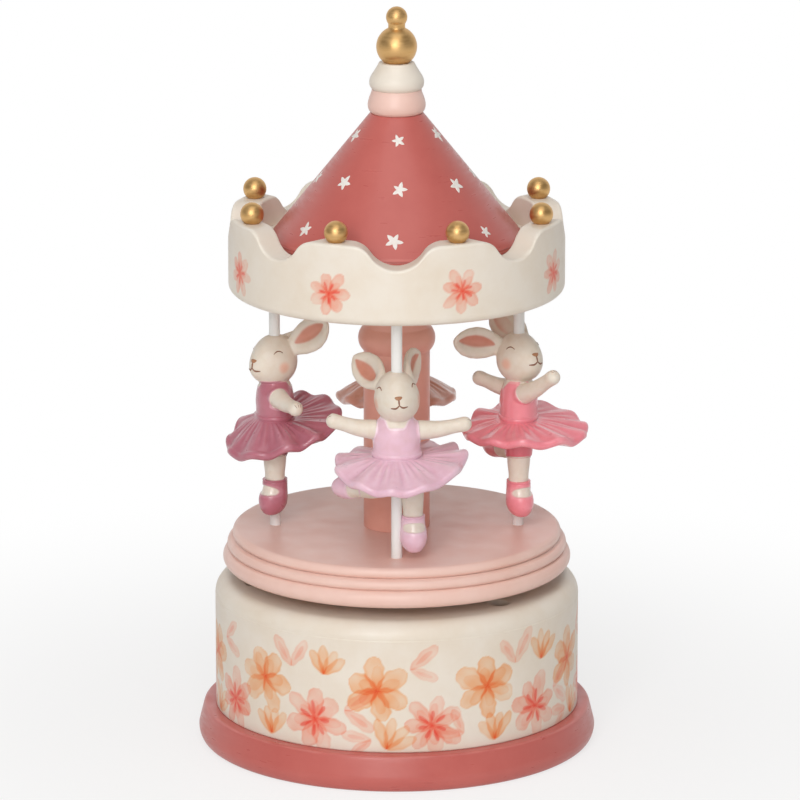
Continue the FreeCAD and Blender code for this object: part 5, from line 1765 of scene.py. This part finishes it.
    def shoes(self) -> list[Surface]:
        """Sweep the slipper on the standing toe and the one on the raised foot."""
        rows = 72
        line = through([
            (0.0, 0.1, 1.0), (0.03, 0.42, 1.0), (0.1, 0.68, 0.98), (0.22, 0.9, 0.85), (0.38, 1.02, 0.6),
            (0.55, 1.0, 0.3), (0.7, 0.93, 0.1), (0.85, 0.89, 0.0), (0.98, 0.9, 0.0), (1.0, 0.78, 0.0),
        ], rows)
        front = turn_z(self.pose.toe_turn_deg) @ np.array([0.0, -1.0, 0.0])
        path = front * (self.shoe_lead * line[:, 2:]) + np.stack([
            np.full(rows, self.leg_out), np.zeros(rows), self.toe_z + self.shoe_h * line[:, 0],
        ], axis=1)
        standing = self.slipper(path, self.shoe_half_l * line[:, 1], self.shoe_half_w * line[:, 1], front)
        _, _, heel, toe = self.raised_leg()
        stations = [(*(toe + (heel - toe) * t), r) for t, r in (
            (0.0, 0.3), (0.04, 1.1), (0.15, 2.1), (0.4, 3.05), (0.7, 3.4), (0.95, 3.25),
            (1.2, 3.05), (1.3, 3.0), (1.32, 2.6),
        )]
        foot = through(stations, rows)
        raised = self.slipper(foot[:, :3], foot[:, 3], foot[:, 3], (0.1, -0.95, -0.1))
        return [standing, raised]

    def stroke(self, path: Array, middle: Array, half_w: float) -> Surface:
        """Draw a fine brush line: a thin oval carried along a curve on a rounded surface.

        Args:
            path: Points of the curve.
            middle: Centre of the surface under it.
            half_w: Half width at the line's middle.

        Returns:
            The line's surface.
        """
        out = unit((path - middle).mean(0))
        swell = 0.45 + 0.55 * np.sin(np.linspace(0, np.pi, len(path)))
        return skin(sweep(path, np.full(len(path), self.line_h), half_w * swell, out, 12)).painted(self.line)

    def face(self) -> list[Surface]:
        """Draw the closed eyes, the nose and mouth, and the fingers' lines on each hand."""
        t = np.linspace(-1.0, 1.0, 17)
        run = (1 + t) / 2
        centre = self.head_middle()
        curves = [(0.0 * t, 0.08 + 0.13 * t, 0.24)]
        for side in (-1, 1):
            curves.append((side * (1.12 + 0.19 * t), 0.43 + 0.1 * (1 - t ** 2), 0.17))
            sag = np.sin(np.clip(run * 1.7, 0, 1) * np.pi / 2)
            curves.append((side * 0.42 * run, -0.04 - 0.13 * sag, 0.25))
        lines = [self.stroke(self.head_point(az, el), centre, half) for az, el, half in curves]
        a = np.arange(28) * 2 * np.pi / 28
        share = np.array([1.0, 0.97, 0.75, 0.4, 0.08])[:, None]
        lift = np.array([-0.15, 0.06, 0.16, 0.22, 0.24])[:, None]
        wide = 0.2 * share * np.cos(a) * (1 + 0.35 * np.sin(a))
        tall = 0.22 + 0.075 * share * np.sin(a)
        spots = self.head_point(wide, tall)
        lines.append(skin(spots + lift[..., None] * unit(spots - centre)).painted(self.nose))
        bend = np.linspace(0.5, 1.15, 9)[:, None]
        for side, reach in ((-1, self.pose.right_reach), (1, self.pose.left_reach)):
            start, span = self.arm_line(side, reach)
            way = unit(span)
            up = unit(np.array([0.0, 0.0, 1.0]) - way * way[2])
            for swing in (-0.55, 0.0, 0.55):
                edge = up * math.cos(swing) + np.cross(way, up) * math.sin(swing)
                curve = start + span + self.hand_r * 0.96 * (way * np.cos(bend) + edge * np.sin(bend))
                lines.append(self.stroke(curve, start + span, self.finger_half_w))
        return lines

    def build(self) -> None:
        """Build, paint and place this dancer."""
        p = self.pose
        mirror = np.diag([-1.0 if p.mirrored else 1.0, 1.0, 1.0])
        turn = turn_z(p.pole_deg + 90.0) @ mirror
        a = math.radians(p.pole_deg)
        at = (self.pole_circle_r * math.cos(a), self.pole_circle_r * math.sin(a), self.floor_z + p.lift)
        node = "dancer_" + p.name
        gloss = DRESS_PAINT.build()
        pieces = (
            ("_figure", [self.figure()], SKIN_PAINT.build(), [node]), ("_skirt", self.skirt(), gloss, []),
            ("_slippers", self.shoes(), gloss, []), ("_face", self.face(), LINE_PAINT.build(), []),
        )
        for suffix, surfaces, material, nodes in pieces:
            moved = [s.placed(turn, at) for s in surfaces]
            make_piece(node + suffix, moved, material, Body.CAROUSEL, nodes)


POSES = (
    Pose(
        name="front", pole_deg=-90.0, mirrored=False, lift=0.0, head_sink=1.3,
        head_turn_deg=4.0, head_nod_deg=-6.0, head_roll_deg=5.4,
        right_ear=Ear((0.5, 0.8, 0.33), (0.3, -0.9, 0.3)), left_ear=Ear((0.2, 0.93, 0.3), (0.95, 0.05, 0.3)),
        right_reach=(13.4, -1.5, 2.9), left_reach=(14.6, 1.0, 1.4),
        skirt_r=17.9, skirt_shift=(1.0, 0.0), rim_drop=0.4, roll_deg=3.5, pitch_deg=5.9, fold=2.3,
        toe_turn_deg=10.0, leg_swing_deg=0.0, leg_raise=0.8,
        dress="#ebc3d2", light="#f8e2ea", deep="#d8a3bb", slot=Slot.LILAC,
    ),
    Pose(
        name="right", pole_deg=0.0, mirrored=True, lift=1.9, head_sink=0.6,
        head_turn_deg=54.0, head_nod_deg=-12.0, head_roll_deg=0.0,
        right_ear=Ear((0.55, 0.5, 0.45), (0.8, -0.3, -0.5)),
        left_ear=Ear((0.41, 0.89, 0.19), (0.85, -0.35, -0.1)),
        right_reach=(5.0, 10.6, 2.0), left_reach=(10.5, -9.0, 7.8),
        skirt_r=17.3, skirt_shift=(0.0, -1.8), rim_drop=0.5, roll_deg=-4.5, pitch_deg=0.0, fold=1.9,
        toe_turn_deg=60.0, leg_swing_deg=0.0, leg_raise=0.0,
        dress="#f5919c", light="#f9b6bb", deep="#e06c7a", slot=Slot.CORAL,
    ),
    Pose(
        name="back", pole_deg=90.0, mirrored=False, lift=6.0, head_sink=1.2,
        head_turn_deg=0.0, head_nod_deg=-4.0, head_roll_deg=0.0,
        right_ear=Ear((0.36, 0.87, 0.34), (0.3, -0.9, 0.3)),
        left_ear=Ear((0.3, 0.88, 0.34), (0.3, -0.9, 0.3)),
        right_reach=(2.2, -12.4, 2.5), left_reach=(2.4, -12.8, 1.0),
        skirt_r=16.9, skirt_shift=(0.0, 0.0), rim_drop=5.0, roll_deg=0.0, pitch_deg=5.0, fold=0.0,
        toe_turn_deg=20.0, leg_swing_deg=-55.0, leg_raise=0.0,
        dress="#e0a590", light="#f2cdbd", deep="#b97a67", slot=Slot.PEACH,
    ),
    Pose(
        name="left", pole_deg=180.0, mirrored=False, lift=2.4, head_sink=1.7,
        head_turn_deg=44.0, head_nod_deg=-2.0, head_roll_deg=0.0,
        right_ear=Ear((0.15, 0.9, 0.4), (0.2, -0.7, 0.5)),
        left_ear=Ear((0.42, 0.68, 0.59), (0.85, -0.45, 0.1)),
        right_reach=(12.5, -5.0, 3.0), left_reach=(11.0, 6.0, -1.4),
        skirt_r=15.9, skirt_shift=(0.0, 2.4), rim_drop=1.2, roll_deg=-12.4, pitch_deg=14.6, fold=1.6,
        toe_turn_deg=45.0, leg_swing_deg=18.0, leg_raise=3.0,
        dress="#bb6e7d", light="#dca5b0", deep="#985363", slot=Slot.PLUM,
    ),
)


@dataclass
class Movement:
    """The clockwork in the drum and the plain pieces between the painted ones, dressed where they stand."""

    brass: CutMetal = CutMetal("turned_brass", "#d8b46a", 0.3, dull="#9c7a3c")
    steel: CutMetal = CutMetal("blued_spring_steel", "#b9bcc0", 0.28, dull="#7e8288")
    zinc: CutMetal = CutMetal("die_cast_zinc", "#a9abad", 0.45, dull="#87898b")
    # The screw heads take a darker, browner brass than the movement's other brass.
    dark_screw_brass: CutMetal = CutMetal("darker_brass_screw_heads", "#8f6f42", 0.36, dull="#4a3824")
    acetal: MouldedAcetal = MouldedAcetal("moulded_acetal", "#e9e6dc", 0.42)
    beech: BareBeech = BareBeech("bare_beech_dowel", "#cfa778", 0.6)

    def build(self) -> None:
        """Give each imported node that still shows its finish."""
        groups = (
            (self.brass, (
                "spindle_bush", "drive_wheel", "pinned_cylinder", "cylinder_pinion", "cylinder_wheel",
                "worm_wheel",
            )),
            (self.dark_screw_brass, ("movement_screws",)),
            (self.steel, (
                "spring_housing", "mainspring", "comb", "comb_screws", "governor_bracket", "spindle",
                "cylinder_shaft", "governor_shaft", "worm_spindle",
            )),
            (self.zinc, ("bedplate",)),
            (self.acetal, ("fly_vanes",)),
            (self.beech, ("finial_pin",)),
            (CREAM_PAINT, ("canopy_board",)),
        )
        for finish, names in groups:
            material = finish.build()
            for name in names:
                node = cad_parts[name]
                node.data.materials.clear()
                node.data.materials.append(material)
                LOG.info("%s: %s", name, finish.name)


@dataclass
class Studio:
    """Plain pale floor, soft lamps and the camera at the photograph's angle."""

    distance: float = 1600.0
    elevation_deg: float = 14.0
    aim_z: float = 95.6
    axis_z: float = 105.0
    aim_x: float = 0.9
    focal_px: float = 5830.0
    frame_px: float = 800.0
    sensor: float = 36.0
    floor_half: float = 3000.0
    shadow_r: float = 60.0
    clear_r: float = 260.0
    fill: float = 0.36

    def lamp(self, name: str, at: Sequence[float], size: tuple[float, float], watts: float) -> None:
        """Hang one soft box, aimed at the object's middle.

        Args:
            name: The lamp's name.
            at: Its place in millimetres.
            size: Its width and height.
            watts: Its power.
        """
        data = bpy.data.lights.new(name, "AREA")
        data.shape = "RECTANGLE"
        data.size, data.size_y = size[0] * MM, size[1] * MM
        data.energy = watts
        lamp = bpy.data.objects.new(name, data)
        bpy.context.scene.collection.objects.link(lamp)
        lamp.location = Vector(at) * MM
        aim = Vector((0.0, 0.0, self.axis_z * MM)) - lamp.location
        lamp.rotation_euler = aim.to_track_quat("-Z", "Y").to_euler()

    def floor(self) -> None:
        """Lay the floor: white to the camera and in gloss, with the object's shadow kept near it."""
        h = self.floor_half
        corners = np.array([[-h, -h, 0], [h, -h, 0], [h, h, 0], [-h, h, 0]]) * MM
        mesh = bpy.data.meshes.new("floor")
        mesh.from_pydata(corners.tolist(), [], [[0, 1, 2, 3]])
        plane = bpy.data.objects.new("floor", mesh)
        bpy.context.scene.collection.objects.link(plane)
        material = bpy.data.materials.new("matt_white_paper_floor")
        material.use_nodes = True
        tree = material.node_tree
        tree.nodes.clear()
        paper = add_node(tree, "ShaderNodeBsdfDiffuse", {"Color": linear("#f2f0ee")})
        glow = add_node(tree, "ShaderNodeEmission", {"Color": (1, 1, 1, 1), "Strength": 1.0})
        path = add_node(tree, "ShaderNodeLightPath")
        sight = (path.outputs["Is Camera Ray"], path.outputs["Is Glossy Ray"])
        seen = add_node(tree, "ShaderNodeMath", {0: sight[0], 1: sight[1]},
                        operation="MAXIMUM")
        place = add_node(tree, "ShaderNodeTexCoord")
        away = add_node(tree, "ShaderNodeVectorMath", {0: place.outputs["Object"]}, operation="LENGTH")
        clear = add_node(tree, "ShaderNodeMapRange", {
            "Value": away.outputs["Value"], "From Min": self.shadow_r * MM, "From Max": self.clear_r * MM,
            "To Min": 0.72, "To Max": 1.0,
        }, interpolation_type="SMOOTHSTEP")
        share = add_node(tree, "ShaderNodeMath", {0: seen.outputs[0], 1: clear.outputs[0]},
                         operation="MULTIPLY")
        mixed = add_node(tree, "ShaderNodeMixShader", {
            0: share.outputs[0], 1: paper.outputs[0], 2: glow.outputs[0],
        })
        add_node(tree, "ShaderNodeOutputMaterial", {"Surface": mixed.outputs[0]})
        mesh.materials.append(material)

    def world(self) -> None:
        """Fill the room with even light: white to the camera, with a white sheet behind for gloss."""
        world = bpy.data.worlds.new("white_room")
        bpy.context.scene.world = world
        world.use_nodes = True
        tree = world.node_tree
        tree.nodes.clear()
        path = add_node(tree, "ShaderNodeLightPath")
        sight = add_node(tree, "ShaderNodeMath", {
            0: path.outputs["Is Camera Ray"], 1: path.outputs["Is Transmission Ray"],
        }, operation="MAXIMUM")
        ray = add_node(tree, "ShaderNodeTexCoord").outputs["Generated"]
        way = add_node(tree, "ShaderNodeSeparateXYZ", {0: ray})
        behind = add_node(tree, "ShaderNodeMapRange", {
            "Value": way.outputs["Y"], "From Min": 0.2, "From Max": 0.7, "To Min": 0.0, "To Max": 1.0,
        })
        hung = add_node(tree, "ShaderNodeMath", {0: behind.outputs[0], 1: path.outputs["Is Glossy Ray"]},
                        operation="MULTIPLY")
        white = add_node(tree, "ShaderNodeMath", {0: sight.outputs[0], 1: hung.outputs[0]},
                         operation="MAXIMUM")
        fill = add_node(tree, "ShaderNodeBackground", {"Color": (1, 1, 1, 1), "Strength": self.fill})
        sheet = add_node(tree, "ShaderNodeBackground", {"Color": (1, 1, 1, 1), "Strength": 1.0})
        mixed = add_node(tree, "ShaderNodeMixShader", {
            0: white.outputs[0], 1: fill.outputs[0], 2: sheet.outputs[0],
        })
        add_node(tree, "ShaderNodeOutputWorld", {"Surface": mixed.outputs[0]})

    def camera(self) -> None:
        """Stand the camera where the photograph's was, with its long lens."""
        data = bpy.data.cameras.new("camera")
        data.sensor_width = self.sensor
        data.lens = self.sensor * self.focal_px / self.frame_px
        data.clip_start, data.clip_end = 0.1, 20.0
        camera = bpy.data.objects.new("camera", data)
        bpy.context.scene.collection.objects.link(camera)
        e = math.radians(self.elevation_deg)
        place = Vector((0.0, -math.cos(e) * self.distance, self.axis_z + math.sin(e) * self.distance)) * MM
        camera.location = place
        aim = Vector((self.aim_x, 0.0, self.aim_z)) * MM - place
        camera.rotation_euler = aim.to_track_quat("-Z", "Y").to_euler()
        bpy.context.scene.camera = camera

    def build(self) -> None:
        """Set up the whole studio."""
        bpy.context.scene.view_settings.view_transform = "Standard"
        self.floor()
        self.world()
        self.camera()
        self.lamp("front_box", (-150.0, -1200.0, 680.0), (700.0, 1000.0), 8.1)
        self.lamp("top_box", (0.0, -450.0, 1150.0), (900.0, 900.0), 2.5)
        self.lamp("glint_box", (-300.0, -1000.0, 560.0), (150.0, 150.0), 1.0)


def main() -> None:
    """Build the music box in order."""
    logging.basicConfig(level=logging.INFO, format="%(name)s: %(message)s")
    Studio().build()
    Case().build()
    Turntable().build()
    Canopy().build()
    Finial().build()
    for pose in POSES:
        Dancer(pose).build()
    Movement().build()


if __name__ == "__main__":
    main()
